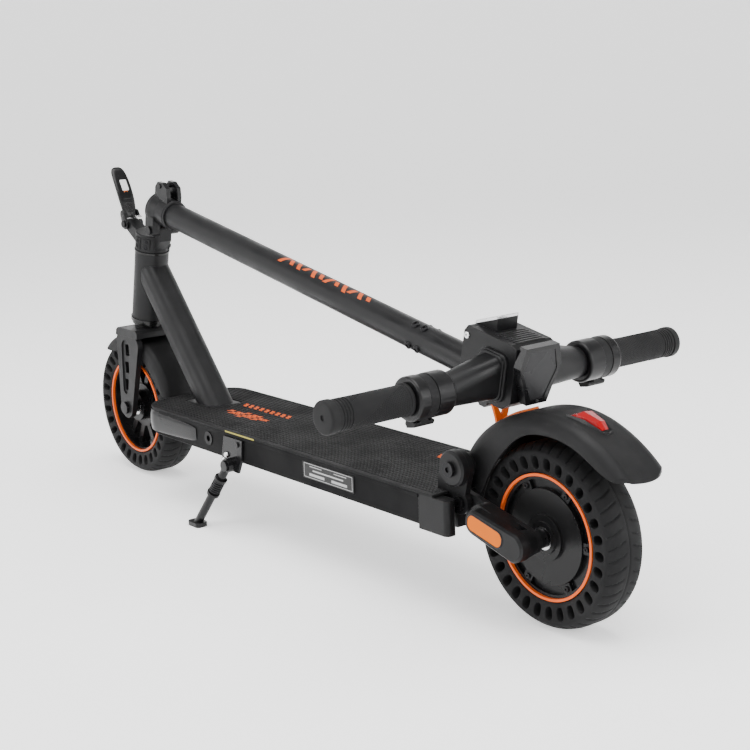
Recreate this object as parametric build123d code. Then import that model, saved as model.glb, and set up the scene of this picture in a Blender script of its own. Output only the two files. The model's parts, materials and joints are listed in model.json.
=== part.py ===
from build123d import *
import os
from math import asin, cos, degrees, radians, sin, sqrt

# Electric kick scooter, folded down and standing on its side stand.
# Millimetres. +X points forward, +Y to the rider's left, +Z up, and the ground is z = 0.
# The model is laid out with x = 0 at the rear axle, then moved so that the middle of its length is x = 0.

# --- Driving dimensions ---------------------------------------------------------------------------
WHEELBASE = 853.0
WHEEL_RADIUS = 100.0
TYRE_HALF_WIDTH = 26.4
TYRE_BEAD_RADIUS = 68.5
TYRE_HOLES = 30
TREAD_FLAT = 9.0
RIM_HALF_WIDTH = 19.0

DECK_TOP_Z = 132.6
DECK_BOTTOM_Z = 97.0
DECK_HALF_WIDTH = 76.0
DECK_REAR_X = 112.0
NOSE_BEHIND_HEAD = 74.0
NOSE_LENGTH = 48.0
TUB_HALF_WIDTH = 74.0
TUB_REAR_X = 140.0
MAT_THICKNESS = 3.0
SHELL_WALL = 3.0

SOCKET_X = 568.0
SOCKET_Z = 113.0
SOCKET_RADIUS = 9.0
SOCKET_BORE_RADIUS = 4.0
SOCKET_DEPTH = 10.0

HEAD_RAKE = 12.8
HEAD_BEHIND_AXLE = 41.0
HEAD_TOP_Z = 331.0
HEAD_LENGTH = 99.5
HEAD_RADIUS = 24.0
STEERER_RADIUS = 14.0
DOWN_TUBE_ANGLE = 49.5
DOWN_TUBE_DEPTH = 39.0
DOWN_TUBE_WIDTH = 44.0
DOWN_TUBE_CORNER = 16.0
FOOT_BEHIND_HEAD = 147.0
FOOT_PLATE_LENGTH = 66.0
FORK_INNER_Y = 29.6
FORK_OUTER_Y = 37.5

STEM_RADIUS = 17.0
STEM_DROP = 138.46
STEM_START = -4.0
STEM_END_GAP = 22.0
STEM_BOLTS_BEFORE_BAR = (153.0, 138.0)
FOLD_BEHIND_HEAD = 35.0
FOLD_PIVOT_Z = 364.2
FOLD_UNDER_STEM = 9.8
FOLD_FACE = 12.45
KNUCKLE_RADIUS = 8.0
KNUCKLE_HALF_WIDTH = 22.0
TONGUE_HALF_WIDTH = 9.3

BAR_AHEAD_OF_AXLE = 61.0
BAR_HALF_WIDTH = 250.0
BAR_RADIUS = 11.0
BAR_RISE = 6.5
GRIP_RADIUS = 16.5
GRIP_INNER_Y = 146.0
CONTROL_RADIUS = 23.5
PADDLE_LOW = 120.0
PADDLE_HIGH = 131.0
PADDLE_STEP = 0.5
HEAD_UNIT_HALF_WIDTH = 28.0
LAMP_END = -16.0
LAMP_LENGTH = 33.0
LAMP_HALF_WIDTH = 14.7
LAMP_SLOPE = 0.46
LAMP_RIM = 61.5
LENS_THICKNESS = 2.5
BUTTON_HEIGHT = -13.2
BUTTON_RADIUS = 1.9

LEVER_AHEAD_OF_HEAD = 52.0
LEVER_PIVOT_Z = 366.0
LEVER_LEAN = 21.0
LEVER_LENGTH = 87.0
LEVER_HALF_WIDTH = 12.5

FENDER_PIVOT_X = 101.0
FENDER_PIVOT_Z = 162.0
ARM_PIVOT_X = 98.0
ARM_PIVOT_Z = 123.0
REFLECTOR_SLOPE = 13.4
FENDER_HALF_WIDTH = 36.0
FENDER_TAIL_RADIUS = 150.0
FENDER_TAIL_ANGLE = 147.0
PRONG_TOP_Z = 230.0

STAND_PIVOT_X = 509.0
STAND_PIVOT_Y = 84.5
STAND_PIVOT_Z = 90.0
STAND_FOOT_X = 568.0
STAND_FOOT_Y = 99.0

AXLE_RADIUS = 6.0
PIVOT_PIN_RADIUS = 5.0
FOLD_PIN_RADIUS = 4.0
LEVER_PIN_RADIUS = 3.0
RUNNING_FIT = 0.05
BODY_GAP = 0.6

# --- Places worked out from the driving dimensions ------------------------------------------------
HEAD_TOP_X = WHEELBASE - HEAD_BEHIND_AXLE
DECK_NOSE_X = HEAD_TOP_X - NOSE_BEHIND_HEAD
TUB_FRONT_X = DECK_NOSE_X - NOSE_LENGTH
DOWN_TUBE_FOOT_X = HEAD_TOP_X - FOOT_BEHIND_HEAD
FOLD_PIVOT_X = HEAD_TOP_X - FOLD_BEHIND_HEAD
FOLD_OFFSET = STEM_RADIUS + FOLD_UNDER_STEM
LEVER_PIVOT_X = HEAD_TOP_X + LEVER_AHEAD_OF_HEAD
BAR_REACH = FOLD_PIVOT_X - BAR_AHEAD_OF_AXLE
STEM_END = BAR_REACH - STEM_END_GAP
STEM_SLOPE = degrees(asin(STEM_DROP / BAR_REACH))
HEAD_BORE = HEAD_RADIUS - 3.0
FENDER_TAIL_X = FENDER_TAIL_RADIUS * cos(radians(FENDER_TAIL_ANGLE))
ORIGIN_X = (WHEELBASE + WHEEL_RADIUS + FENDER_TAIL_X) / 2
TUB_TOP_Z = DECK_TOP_Z - MAT_THICKNESS
HEAD = Pos(HEAD_TOP_X, 0, HEAD_TOP_Z) * Rot(0, -HEAD_RAKE, 0)
# The stem frame sits at the fold pivot: local x runs rearward along the stem, local z is square to it.
STEM = Pos(FOLD_PIVOT_X, 0, FOLD_PIVOT_Z) * Rot(0, -STEM_SLOPE, 0) * Rot(0, 0, 180)
# The bar frame sits on the handlebar axis and is turned the same way as the stem frame.
BAR = STEM * Pos(BAR_REACH, 0, FOLD_OFFSET + BAR_RISE)
# The lever frame sits on the lever's pin, with local z along the open lever.
LEVER = Pos(LEVER_PIVOT_X, 0, LEVER_PIVOT_Z) * Rot(0, LEVER_LEAN, 0)
REAR_AXLE = Pos(0, 0, WHEEL_RADIUS) * Rot(-90, 0, 0)
FRONT_AXLE = Pos(WHEELBASE, 0, WHEEL_RADIUS) * Rot(-90, 0, 0)

# The fold pivot seen in the head frame, and the top face of the fold base below it.
PIVOT_ALONG_HEAD = (
    (HEAD_TOP_X - FOLD_PIVOT_X) * sin(radians(HEAD_RAKE))
    + (FOLD_PIVOT_Z - HEAD_TOP_Z) * cos(radians(HEAD_RAKE))
)
PIVOT_BEHIND_HEAD = (
    (HEAD_TOP_X - FOLD_PIVOT_X) * cos(radians(HEAD_RAKE))
    - (FOLD_PIVOT_Z - HEAD_TOP_Z) * sin(radians(HEAD_RAKE))
)
FOLD_BASE_TOP = PIVOT_ALONG_HEAD - FOLD_FACE


# --- Helpers --------------------------------------------------------------------------------------
def slab(outline, y_low, y_high):
    """A solid whose outline lies in the XZ plane and which runs from y_low to y_high."""
    return extrude(Plane.XZ.offset(-y_high) * outline, y_high - y_low)


def rod(x, z, radius, y_low, y_high):
    """A round bar along Y."""
    return Pos(x, (y_low + y_high) / 2, z) * Rot(90, 0, 0) * Cylinder(radius, y_high - y_low)


def collar(outer, inner, z_low, z_high):
    """A round collar along local Z."""
    centre = Pos(0, 0, (z_low + z_high) / 2)
    return centre * (Cylinder(outer, z_high - z_low) - Cylinder(inner, z_high - z_low + 2))


def both_sides(shape):
    """A shape and its mirror image on the other side of the scooter's middle plane."""
    return shape + mirror(shape, about=Plane.XZ)


def polygon(*points):
    """A closed flat outline through the points."""
    return make_face(Polyline(*points, close=True))


def rounded_ends(*circles):
    """The outline wrapped tightly around circles given as (x, z, radius)."""
    edges = []
    for x, z, radius in circles:
        edges += (Pos(x, z) * Circle(radius)).edges()
    return make_hull(edges)


def polar(axle_x, angle, radius):
    """A point at an angle and radius from an axle, as (x, z)."""
    x = axle_x + radius * cos(radians(angle))
    z = WHEEL_RADIUS + radius * sin(radians(angle))
    return x, z


# --- Wheels ---------------------------------------------------------------------------------------
def tyre():
    """A solid rubber tyre with a ring of oval holes through it, its axis along local Z."""
    half = TYRE_HALF_WIDTH
    shoulder = WHEEL_RADIUS - 7
    bead = TYRE_BEAD_RADIUS
    side = Polyline(
        (shoulder, -half + 1.4),
        (shoulder - 7, -half),
        (bead + 9.5, -half + 1.4),
        (bead, -RIM_HALF_WIDTH - 1),
        (bead, RIM_HALF_WIDTH + 1),
        (bead + 9.5, half - 1.4),
        (shoulder - 7, half),
        (shoulder, half - 1.4),
    )
    tread = Polyline((WHEEL_RADIUS, TREAD_FLAT), (WHEEL_RADIUS, -TREAD_FLAT))
    round_over = WHEEL_RADIUS - 2
    left_crown = ThreePointArc((shoulder, half - 1.4), (round_over, 18), (WHEEL_RADIUS, TREAD_FLAT))
    right_crown = ThreePointArc((WHEEL_RADIUS, -TREAD_FLAT), (round_over, -18), (shoulder, -half + 1.4))
    section = Plane.XZ * make_face(side + left_crown + tread + right_crown)
    body = revolve(section, Axis.Z)
    holes = Sketch() + PolarLocations(81, TYRE_HOLES) * SlotOverall(14, 9)
    return body - extrude(holes, 2 * half, both=True)


def rim_rings(face):
    """The two thin coloured rings beside the tyre's beads, whose outer faces are at +-face."""
    ring = collar(TYRE_BEAD_RADIUS, TYRE_BEAD_RADIUS - 3.0, face - 4, face)
    return ring + Pos(0, 0, -2 * face + 4) * ring


def front_rim():
    """A cast front rim: band, hub and six pairs of spokes with open gaps between them."""
    band = collar(TYRE_BEAD_RADIUS, TYRE_BEAD_RADIUS - 5, -RIM_HALF_WIDTH, RIM_HALF_WIDTH)
    hub = collar(22, 13, -21, 21)
    web = collar(32, 21, -10, 10)
    rim = band + hub + web
    spoke = Pos(47, 0, 0) * Box(36, 9, 14)
    for location in PolarLocations(0, 6):
        rim += location * Pos(0, 6.5, 0) * Rot(0, 0, 5) * spoke
        rim += location * Pos(0, -6.5, 0) * Rot(0, 0, -5) * spoke
    return rim


def wheel_bearings(inner_z, outer_z):
    """A ball bearing on each side of a hub, with a running fit on the axle."""
    ring = collar(13, AXLE_RADIUS + RUNNING_FIT, inner_z, outer_z)
    return ring + Pos(0, 0, -inner_z - outer_z) * ring


def motor_shell():
    """The hub motor's drum, with six screw lugs on each side."""
    drum = collar(TYRE_BEAD_RADIUS - 3.0, 52, -14, 14)
    band = collar(TYRE_BEAD_RADIUS - 3.0, 62, -RIM_HALF_WIDTH, RIM_HALF_WIDTH)
    seat = collar(TYRE_BEAD_RADIUS, TYRE_BEAD_RADIUS - 3.5, -14.5, 14.5)
    shell = drum + band + seat
    lug = Pos(57.5, 0, 16) * Box(11, 12, 4.4)
    for location in PolarLocations(0, 6):
        shell += location * lug
        shell += location * Pos(0, 0, -32) * lug
    return shell


def motor_covers():
    """The domed side covers of the hub motor, each with a boss for its bearing."""
    cover = collar(51.9, 13, 10.5, 19.5) + collar(25, 13, 19.5, 23)
    cover += collar(18, 13, 23, 25)
    return cover + mirror(cover, about=Plane.XY)


def motor_stator():
    """The wound core fixed on the axle inside the hub motor."""
    return collar(48.5, AXLE_RADIUS, -9, 9)


def front_axle():
    """The front axle with its spacers and its two domed bolts."""
    axle = Cylinder(AXLE_RADIUS, 2 * FORK_OUTER_Y + 1)
    spacer = FORK_INNER_Y - 21.8
    for side in (-1, 1):
        axle += Pos(0, 0, side * (21.8 + spacer / 2)) * Cylinder(9, spacer)
        axle += Pos(0, 0, side * (FORK_OUTER_Y + 2.1)) * Cylinder(9, 4.2)
    return axle


def rear_axle():
    """The rear axle with its spacers and its two hexagon nuts."""
    axle = Cylinder(AXLE_RADIUS, 2 * 52)
    for side in (-1, 1):
        axle += Pos(0, 0, side * 31.5) * Cylinder(10, 11)
        nut = extrude(RegularPolygon(9.5, 6), 3, both=True)
        axle += Pos(0, 0, side * 47) * nut
    return axle


# --- Fenders --------------------------------------------------------------------------------------
def fender_shell(axle_x, crest, edge, half_width, wall, rounding):
    """A wheel cover: crest and edge are lists of (angle, radius) around the axle, front to rear."""
    top = Spline(*[polar(axle_x, angle, radius) for angle, radius in crest])
    low = Spline(*[polar(axle_x, angle, radius) for angle, radius in edge])
    front = Line(top @ 0, low @ 0)
    rear = Line(top @ 1, low @ 1)
    outer = slab(make_face(top + rear + low + front), -half_width, half_width)
    outer = fillet(crest_edges(outer, half_width, axle_x), rounding)

    inner_top = Spline(*[polar(axle_x, angle, radius - wall) for angle, radius in crest])
    first, last = crest[0][0] - 12, crest[-1][0] + 12
    front_out = polar(axle_x, first, crest[0][1] - wall)
    rear_out = polar(axle_x, last, crest[-1][1] - wall)
    below = [polar(axle_x, angle, 40) for angle in (last, (first + last) / 2, first)]
    hollow_edge = Polyline(inner_top @ 1, rear_out, *below, front_out, inner_top @ 0)
    inner_half = half_width - wall
    hollow = slab(make_face(inner_top + hollow_edge), -inner_half, inner_half)
    hollow = fillet(crest_edges(hollow, inner_half, axle_x), rounding - wall)
    return outer - hollow


def crest_edges(solid, half_width, axle_x):
    """The two long edges where a fender's crest meets its sides."""
    long_edges = []
    for edge in solid.edges():
        middle = edge @ 0.5
        reach = sqrt((middle.X - axle_x) ** 2 + (middle.Z - WHEEL_RADIUS) ** 2)
        if abs(abs(middle.Y) - half_width) < 0.01 and edge.geom_type == GeomType.BSPLINE:
            long_edges.append((reach, edge))
    long_edges.sort(key=lambda item: -item[0])
    return [edge for reach, edge in long_edges[:2]]


def front_fender():
    """The front wheel cover, with a pad that sits under the fork crown."""
    crest = [(50, 106.5), (80, 107), (110, 107), (140, 107), (165, 106.5)]
    edge = [(52, 99), (62, 88.5), (85, 86), (120, 86.5), (150, 87.5), (163, 98)]
    shell = fender_shell(WHEELBASE, crest, edge, FORK_INNER_Y - 0.2, 2, 11)
    rear, front = WHEELBASE - 27, WHEELBASE - 5
    pad = slab(polygon((rear, 203.2), (front, 205), (front, 207.3), (rear, 207.3)), -20, 20)
    return shell + pad


REAR_CREST = [
    (25, 130),
    (50, 132),
    (77, 132.5),
    (97, 136),
    (122, 141),
    (FENDER_TAIL_ANGLE, FENDER_TAIL_RADIUS),
]


def rear_fender():
    """The rear wheel cover, which also works as a foot brake, with a hinge boss on each side."""
    edge = [(21, 88), (42, 89.5), (63, 98), (80, 109), (100, 117), (121, 124), (136, 130.5), (144.5, 144)]
    shell = fender_shell(0, REAR_CREST, edge, FENDER_HALF_WIDTH, 3, 15)
    boss = rod(FENDER_PIVOT_X, FENDER_PIVOT_Z, 13, FENDER_HALF_WIDTH - 3, 43.5)
    shell += both_sides(boss)
    hole = rod(FENDER_PIVOT_X, FENDER_PIVOT_Z, PIVOT_PIN_RADIUS + RUNNING_FIT, -50, 50)
    tail = fillet_tail(shell)
    return tail - hole


def fillet_tail(shell):
    """Rounds the fender's tail in plan, so that it ends in a bow."""
    tail_x = FENDER_TAIL_X
    bow = Pos(tail_x + 46, 0, 0) * Cylinder(46, 500)
    keep = Pos(tail_x + 46 + 150, 0, 0) * Box(300, 200, 600)
    return shell & (bow + keep)


def crest_spline(grow):
    """The rear fender's crest line in the middle plane, moved outward."""
    return Spline(*[polar(0, angle, radius + grow) for angle, radius in REAR_CREST])


def under_crest():
    """Everything below the rear fender's crest line."""
    crest = crest_spline(0)
    below = Polyline(crest @ 1, (0, WHEEL_RADIUS - 40), crest @ 0)
    return slab(make_face(crest + below), -FENDER_HALF_WIDTH, FENDER_HALF_WIDTH)


def crest_strip(low, high, half_width, first, last):
    """A strip that follows the rear fender's crest between two angles and two offsets."""
    inner, outer = crest_spline(low), crest_spline(high)
    band = make_face(inner + Line(inner @ 1, outer @ 1) + outer + Line(inner @ 0, outer @ 0))
    middle = (first + last) / 2
    window = polygon((0, WHEEL_RADIUS), polar(0, first, 200), polar(0, middle, 240), polar(0, last, 200))
    return slab(band & window, -half_width, half_width)


def fender_strap():
    """The catch strip on the rear fender, with the two prongs that meet the stem's nub."""
    strip = crest_strip(0, 2.5, 11, 46, 73)
    foot_x, foot_z = polar(0, 48, REAR_CREST[1][1] + 1)
    prong = polygon(
        (0, foot_z - 6),
        (5, foot_z - 6),
        (8, foot_z + 12),
        (14, PRONG_TOP_Z),
        (9, PRONG_TOP_Z),
        (0, foot_z + 14),
    )
    fork = extrude(Plane.YZ.offset(foot_x - 4.5) * prong, 3.5)
    return strip + (both_sides(fork) - under_crest())


def fender_leaf():
    """The leaf spring under the rear fender that lifts it again after braking."""
    return crest_strip(-5.8, -3.1, 17, 27, 76)


def tail_light():
    """The red lens on the rear fender's crest."""
    outline = polygon(polar(0, 103, 135), polar(0, 107, 142.5), polar(0, 115, 144.5), polar(0, 119, 139))
    return slab(outline, -11, 11) - under_crest()


# --- Deck -----------------------------------------------------------------------------------------
def deck_plan(rear_x, nose_x, half_width, nose_round):
    """The deck seen from above: straight sides and a rounded nose."""
    length = nose_x - rear_x
    plan = Pos((rear_x + nose_x) / 2, 0) * Rectangle(length, 2 * half_width)
    return fillet(plan.vertices().group_by(Axis.X)[-1], nose_round)


def deck_frame():
    """The extruded tub that carries the battery, open below and closed by the bottom plate."""
    height = TUB_TOP_Z - DECK_BOTTOM_Z
    length = TUB_FRONT_X - TUB_REAR_X
    middle_x = (TUB_FRONT_X + TUB_REAR_X) / 2
    tub = Pos(middle_x, 0, DECK_BOTTOM_Z + height / 2) * Box(length, 2 * TUB_HALF_WIDTH, height)
    tub = chamfer(tub.edges().filter_by(Axis.X).group_by(Axis.Z)[-1], 2)
    inner = Box(length - 2 * SHELL_WALL, 2 * (TUB_HALF_WIDTH - SHELL_WALL), height)
    tub -= Pos(middle_x, 0, DECK_BOTTOM_Z + height / 2 - SHELL_WALL) * inner
    lip = Pos(middle_x, 0, TUB_TOP_Z - 2) * Box(length, 2 * DECK_HALF_WIDTH, 4)
    tub += lip - Pos(middle_x, 0, TUB_TOP_Z - 2) * Box(length + 2, 2 * TUB_HALF_WIDTH - 1, 5)
    socket = rod(SOCKET_X, SOCKET_Z, SOCKET_RADIUS, TUB_HALF_WIDTH - 10, TUB_HALF_WIDTH + 2)
    return tub - socket


def charge_socket():
    """The round charging socket in the left side of the deck."""
    body = rod(SOCKET_X, SOCKET_Z, SOCKET_RADIUS, TUB_HALF_WIDTH - 13, TUB_HALF_WIDTH + 1)
    floor_y = TUB_HALF_WIDTH + 1 - SOCKET_DEPTH
    bore = rod(SOCKET_X, SOCKET_Z, SOCKET_BORE_RADIUS, floor_y, TUB_HALF_WIDTH + 3)
    return body - bore


def bottom_plate():
    """The screwed-on plate under the deck."""
    plan = deck_plan(TUB_REAR_X, DECK_NOSE_X - 6, TUB_HALF_WIDTH - 1, 32)
    plate = extrude(Pos(0, 0, DECK_BOTTOM_Z - 3.5) * plan, 3.5)
    return chamfer(plate.faces().sort_by(Axis.Z)[0].edges(), 1.5)


def deck_mat():
    """The ribbed rubber mat that covers the whole deck around the foot of the down tube."""
    plan = deck_plan(DECK_REAR_X + 3, DECK_NOSE_X, DECK_HALF_WIDTH, 38)
    plan -= Pos(DOWN_TUBE_FOOT_X + 6, 0) * RectangleRounded(FOOT_PLATE_LENGTH + 2, DOWN_TUBE_WIDTH + 4, 2)
    notch = Pos(122, 48.3) * Rectangle(24, 8.6)
    plan -= notch + mirror(notch, about=Plane.XZ)
    mat = extrude(Pos(0, 0, TUB_TOP_Z) * plan, MAT_THICKNESS)
    for index in range(-8, 9):
        groove = Pos(380, index * 8.0, DECK_TOP_Z) * Box(430, 1.6, 1.6)
        mat -= groove
    return mat


def nose_cover():
    """The moulded nose in front of the tub, under the mat."""
    plan = deck_plan(TUB_FRONT_X, DECK_NOSE_X - 2, TUB_HALF_WIDTH, 36)
    nose = extrude(Pos(0, 0, DECK_BOTTOM_Z) * plan, TUB_TOP_Z - DECK_BOTTOM_Z)
    return chamfer(nose.edges().filter_by(GeomType.CIRCLE).group_by(Axis.Z)[0], 3)


def rear_cover():
    """The moulded end behind the tub: a middle wall and a lobe on each side of the wheel's space."""
    height = TUB_TOP_Z - 90.0
    wall = Pos((DECK_REAR_X + TUB_REAR_X) / 2, 0, 90.0 + height / 2) * Box(
        TUB_REAR_X - DECK_REAR_X, 2 * 43.5, height
    )
    lobe = Pos((93.0 + TUB_REAR_X) / 2, 67.5, 90.0 + height / 2) * Box(TUB_REAR_X - 93.0, 15, height)
    lobe = fillet(lobe.edges().filter_by(Axis.Z).group_by(Axis.X)[0], 6)
    bridge = Pos(TUB_REAR_X - 3, 52, 90.0 + height / 2) * Box(6, 18, height)
    return wall + both_sides(lobe + bridge)


def rear_brackets():
    """The two cheeks bolted to the back of the deck, each with the fender's and the arm's pivot."""
    outline = rounded_ends((FENDER_PIVOT_X, FENDER_PIVOT_Z, 19), (ARM_PIVOT_X + 6, ARM_PIVOT_Z + 8, 14))
    outline += rounded_ends((ARM_PIVOT_X, ARM_PIVOT_Z, 13), (FENDER_PIVOT_X + 8, FENDER_PIVOT_Z - 20, 13))
    outline += polygon((98, 112), (133.4, 100), (133.4, 148), (112, 172), (104, 150))
    cheek = slab(outline, 44.5, 52)
    knuckle = rod(FENDER_PIVOT_X, FENDER_PIVOT_Z, 20, 52, 62)
    knuckle = chamfer(knuckle.edges().filter_by(GeomType.CIRCLE).group_by(Axis.Y)[-1], 2.5)
    cheek += knuckle
    cheek -= rod(FENDER_PIVOT_X, FENDER_PIVOT_Z, PIVOT_PIN_RADIUS, 40, 70)
    cheek -= rod(ARM_PIVOT_X, ARM_PIVOT_Z, PIVOT_PIN_RADIUS, 40, 70)
    return both_sides(cheek)


def rear_pivot_bolts():
    """The four shoulder bolts that the rear fender and the swing arms turn on."""
    fender_bolt = rod(FENDER_PIVOT_X, FENDER_PIVOT_Z, PIVOT_PIN_RADIUS, 33.5, 62)
    fender_head = rod(FENDER_PIVOT_X, FENDER_PIVOT_Z, 8.5, 62, 66)
    arm_bolt = rod(ARM_PIVOT_X, ARM_PIVOT_Z, PIVOT_PIN_RADIUS, 36.2, 52)
    arm_head = rod(ARM_PIVOT_X, ARM_PIVOT_Z, 8, 52, 56)
    socket = rod(FENDER_PIVOT_X, FENDER_PIVOT_Z, 3, 64, 67) + rod(ARM_PIVOT_X, ARM_PIVOT_Z, 3, 54, 57)
    return both_sides(fender_bolt + fender_head + arm_bolt + arm_head - socket)


def battery_pack():
    """The battery inside the tub."""
    return Pos(400, 0, DECK_BOTTOM_Z + 14) * Box(380, 120, 27)


def rating_plate():
    """The blank rating plate on the deck's left side."""
    return Pos(306, TUB_HALF_WIDTH + 0.5, 114.5) * Box(100, 1, 20)


# --- Swing arms -----------------------------------------------------------------------------------
def swing_arms():
    """The two plates that carry the rear axle and turn on the arm bolts."""
    outline = rounded_ends((ARM_PIVOT_X, ARM_PIVOT_Z, 12), (0, WHEEL_RADIUS, 13))
    arm = slab(outline, 37, 43.5)
    arm -= rod(ARM_PIVOT_X, ARM_PIVOT_Z, PIVOT_PIN_RADIUS + RUNNING_FIT, 30, 50)
    arm -= rod(0, WHEEL_RADIUS, AXLE_RADIUS, 30, 50)
    arm -= slab(rounded_ends((30, 107, 4.5), (70, 116.5, 4.5)), 41, 45)
    return both_sides(arm)


def arm_covers():
    """The moulded pods over the swing arms, each with a cone that closes over the axle nut."""
    pod = slab(rounded_ends((-1, WHEEL_RADIUS, 16), (56.5, 113.5, 14)), 58, 71)
    pod = chamfer(pod.faces().sort_by(Axis.Y)[-1].edges(), 2.5)
    root = slab(rounded_ends((22, 105, 13), (60, 114, 16)), 43.5, 58)
    cone = Pos(0, 50.75, WHEEL_RADIUS) * Rot(-90, 0, 0) * Cone(13.5, 16, 14.5)
    cover = pod + root + cone
    cover -= rod(0, WHEEL_RADIUS, 10, 43, 53)
    return both_sides(cover - left_reflector())


def left_reflector():
    """The reflector of the left arm cover, sloped like the arm and standing 0.3 proud of the pod."""
    slope = Pos(38.5, 69.65, 109.3) * Rot(0, -REFLECTOR_SLOPE, 0) * Rot(90, 0, 0)
    return slope * extrude(RectangleRounded(52, 18, 8), 1.65, both=True)


def side_reflectors():
    """The orange reflectors set into the arm covers."""
    return both_sides(left_reflector())


# --- Front frame and steering ---------------------------------------------------------------------
def head_tube():
    """The steering head of the frame."""
    return HEAD * collar(HEAD_RADIUS, HEAD_BORE, -HEAD_LENGTH, 0)


def headset_bearings():
    """The two steering bearings inside the head tube."""
    lower = collar(HEAD_BORE, STEERER_RADIUS + RUNNING_FIT, -HEAD_LENGTH, -HEAD_LENGTH + 12)
    return HEAD * (lower + collar(HEAD_BORE, STEERER_RADIUS + RUNNING_FIT, -12, 0))


def headset_seals():
    """The stacked rings above and below the head tube."""
    bore = STEERER_RADIUS + 0.4
    lower = collar(HEAD_RADIUS + 1.5, bore, -HEAD_LENGTH - 5, -HEAD_LENGTH)
    lower += collar(HEAD_RADIUS - 0.5, bore, -HEAD_LENGTH - 9.5, -HEAD_LENGTH - 5)
    upper = collar(HEAD_RADIUS + 1, bore, 0, 2.5)
    return HEAD * (lower + upper)


def down_tube():
    """The box tube from the deck up to the head tube."""
    reach = (HEAD_TOP_Z - TUB_TOP_Z) / sin(radians(DOWN_TUBE_ANGLE))
    frame = Pos(DOWN_TUBE_FOOT_X, 0, TUB_TOP_Z) * Rot(0, 90 - DOWN_TUBE_ANGLE, 0)
    outline = RectangleRounded(DOWN_TUBE_DEPTH, DOWN_TUBE_WIDTH, DOWN_TUBE_CORNER)
    bore = RectangleRounded(DOWN_TUBE_DEPTH - 6, DOWN_TUBE_WIDTH - 6, DOWN_TUBE_CORNER - 3)
    outer = extrude(outline, reach + 60, both=True)
    inner = extrude(bore, reach - 20, both=True)
    tube = frame * (outer - inner)
    tube -= Pos(DOWN_TUBE_FOOT_X, 0, TUB_TOP_Z - 200) * Box(600, 200, 400)
    beyond = HEAD * Pos(100, 0, 0) * Box(200, 200, 400)
    tube = tube - beyond - HEAD * Cylinder(HEAD_RADIUS, 400)
    tube -= HEAD * Pos(0, 0, 100) * Box(300, 200, 200)
    foot_height = MAT_THICKNESS - 0.2
    foot_place = Pos(DOWN_TUBE_FOOT_X + 6, 0, TUB_TOP_Z + foot_height / 2)
    foot = foot_place * Box(FOOT_PLATE_LENGTH, DOWN_TUBE_WIDTH + 2, foot_height)
    return solids_of(tube) + foot


def solids_of(shape):
    """The largest solid of a shape."""
    return shape.solids().sort_by(SortBy.VOLUME)[-1]


def fork_crown():
    """The fork's crown with the steerer tube that turns in the head tube."""
    points = ((-46, 207.3), (16, 207.3), (14, 215), (9, 219), (-41, 219), (-46, 215))
    outline = polygon(*[(WHEELBASE + x, z) for x, z in points])
    crown = slab(outline, -FORK_OUTER_Y, FORK_OUTER_Y)
    boss = HEAD * collar(20, 6, -HEAD_LENGTH - 24, -HEAD_LENGTH - 9.5 - BODY_GAP)
    steerer = HEAD * collar(STEERER_RADIUS, 11, -HEAD_LENGTH - 16, FOLD_BASE_TOP - 4)
    below = Pos(WHEELBASE, 0, 207.3 - 50) * Box(200, 200, 100)
    return crown + boss - below + steerer


def fork_legs():
    """The two fork legs, with a recessed channel and three windows in each."""
    outline = rounded_ends((WHEELBASE - 2, 101, 16), (WHEELBASE + 2, 200, 12), (WHEELBASE - 33, 196, 14))
    leg = slab(outline, FORK_INNER_Y, FORK_OUTER_Y)
    leg -= Pos(WHEELBASE - 13, FORK_OUTER_Y, 207.3 + 20) * Box(120, 40, 40)
    channel = rounded_ends((WHEELBASE - 3, 128, 7), (WHEELBASE - 11, 190, 12))
    leg -= slab(channel, FORK_OUTER_Y - 2, FORK_OUTER_Y + 2)
    for x, z in ((-11.5, 187), (-8, 161), (-4.5, 135)):
        window = Pos(WHEELBASE + x, z) * RectangleRounded(10, 17, 2)
        leg -= slab(window, FORK_INNER_Y - 5, FORK_OUTER_Y + 5)
    leg -= rod(WHEELBASE, WHEEL_RADIUS, AXLE_RADIUS, FORK_INNER_Y - 5, FORK_OUTER_Y + 5)
    return both_sides(leg)


def fold_base():
    """The round base above the head tube, with a hinge tongue behind and the lever's bracket in front."""
    base = collar(HEAD_RADIUS, STEERER_RADIUS, 2.5 + BODY_GAP, FOLD_BASE_TOP)
    top_circles = base.edges().filter_by(GeomType.CIRCLE).group_by(Axis.Z)[-1]
    base = chamfer(top_circles.sort_by(SortBy.LENGTH)[-1], 1)
    cap = Pos(0, 0, FOLD_BASE_TOP - 2) * Cylinder(STEERER_RADIUS, 4)
    rear, height = -PIVOT_BEHIND_HEAD, PIVOT_ALONG_HEAD
    tongue = slab(
        polygon(
            (rear - KNUCKLE_RADIUS, height),
            (rear - KNUCKLE_RADIUS, 24),
            (-22, 6),
            (rear + KNUCKLE_RADIUS, 6),
            (rear + KNUCKLE_RADIUS, height),
        ),
        -TONGUE_HALF_WIDTH,
        TONGUE_HALF_WIDTH,
    )
    tongue += rod(rear, height, KNUCKLE_RADIUS, -TONGUE_HALF_WIDTH, TONGUE_HALF_WIDTH)
    base = HEAD * (base + cap + tongue)
    root_x = HEAD_TOP_X + 17
    bracket = rounded_ends((LEVER_PIVOT_X, LEVER_PIVOT_Z, 7), (root_x, 341, 6), (root_x + 2, 352, 4))
    below = HEAD * Pos(0, 0, 2.5 + BODY_GAP - 50) * Box(200, 200, 100)
    base += slab(bracket, -9, 9) - HEAD * Cylinder(STEERER_RADIUS + 4, 200) - below
    base -= rod(FOLD_PIVOT_X, FOLD_PIVOT_Z, FOLD_PIN_RADIUS, -30, 30)
    base -= rod(LEVER_PIVOT_X, LEVER_PIVOT_Z, LEVER_PIN_RADIUS, -30, 30)
    return base


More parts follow.
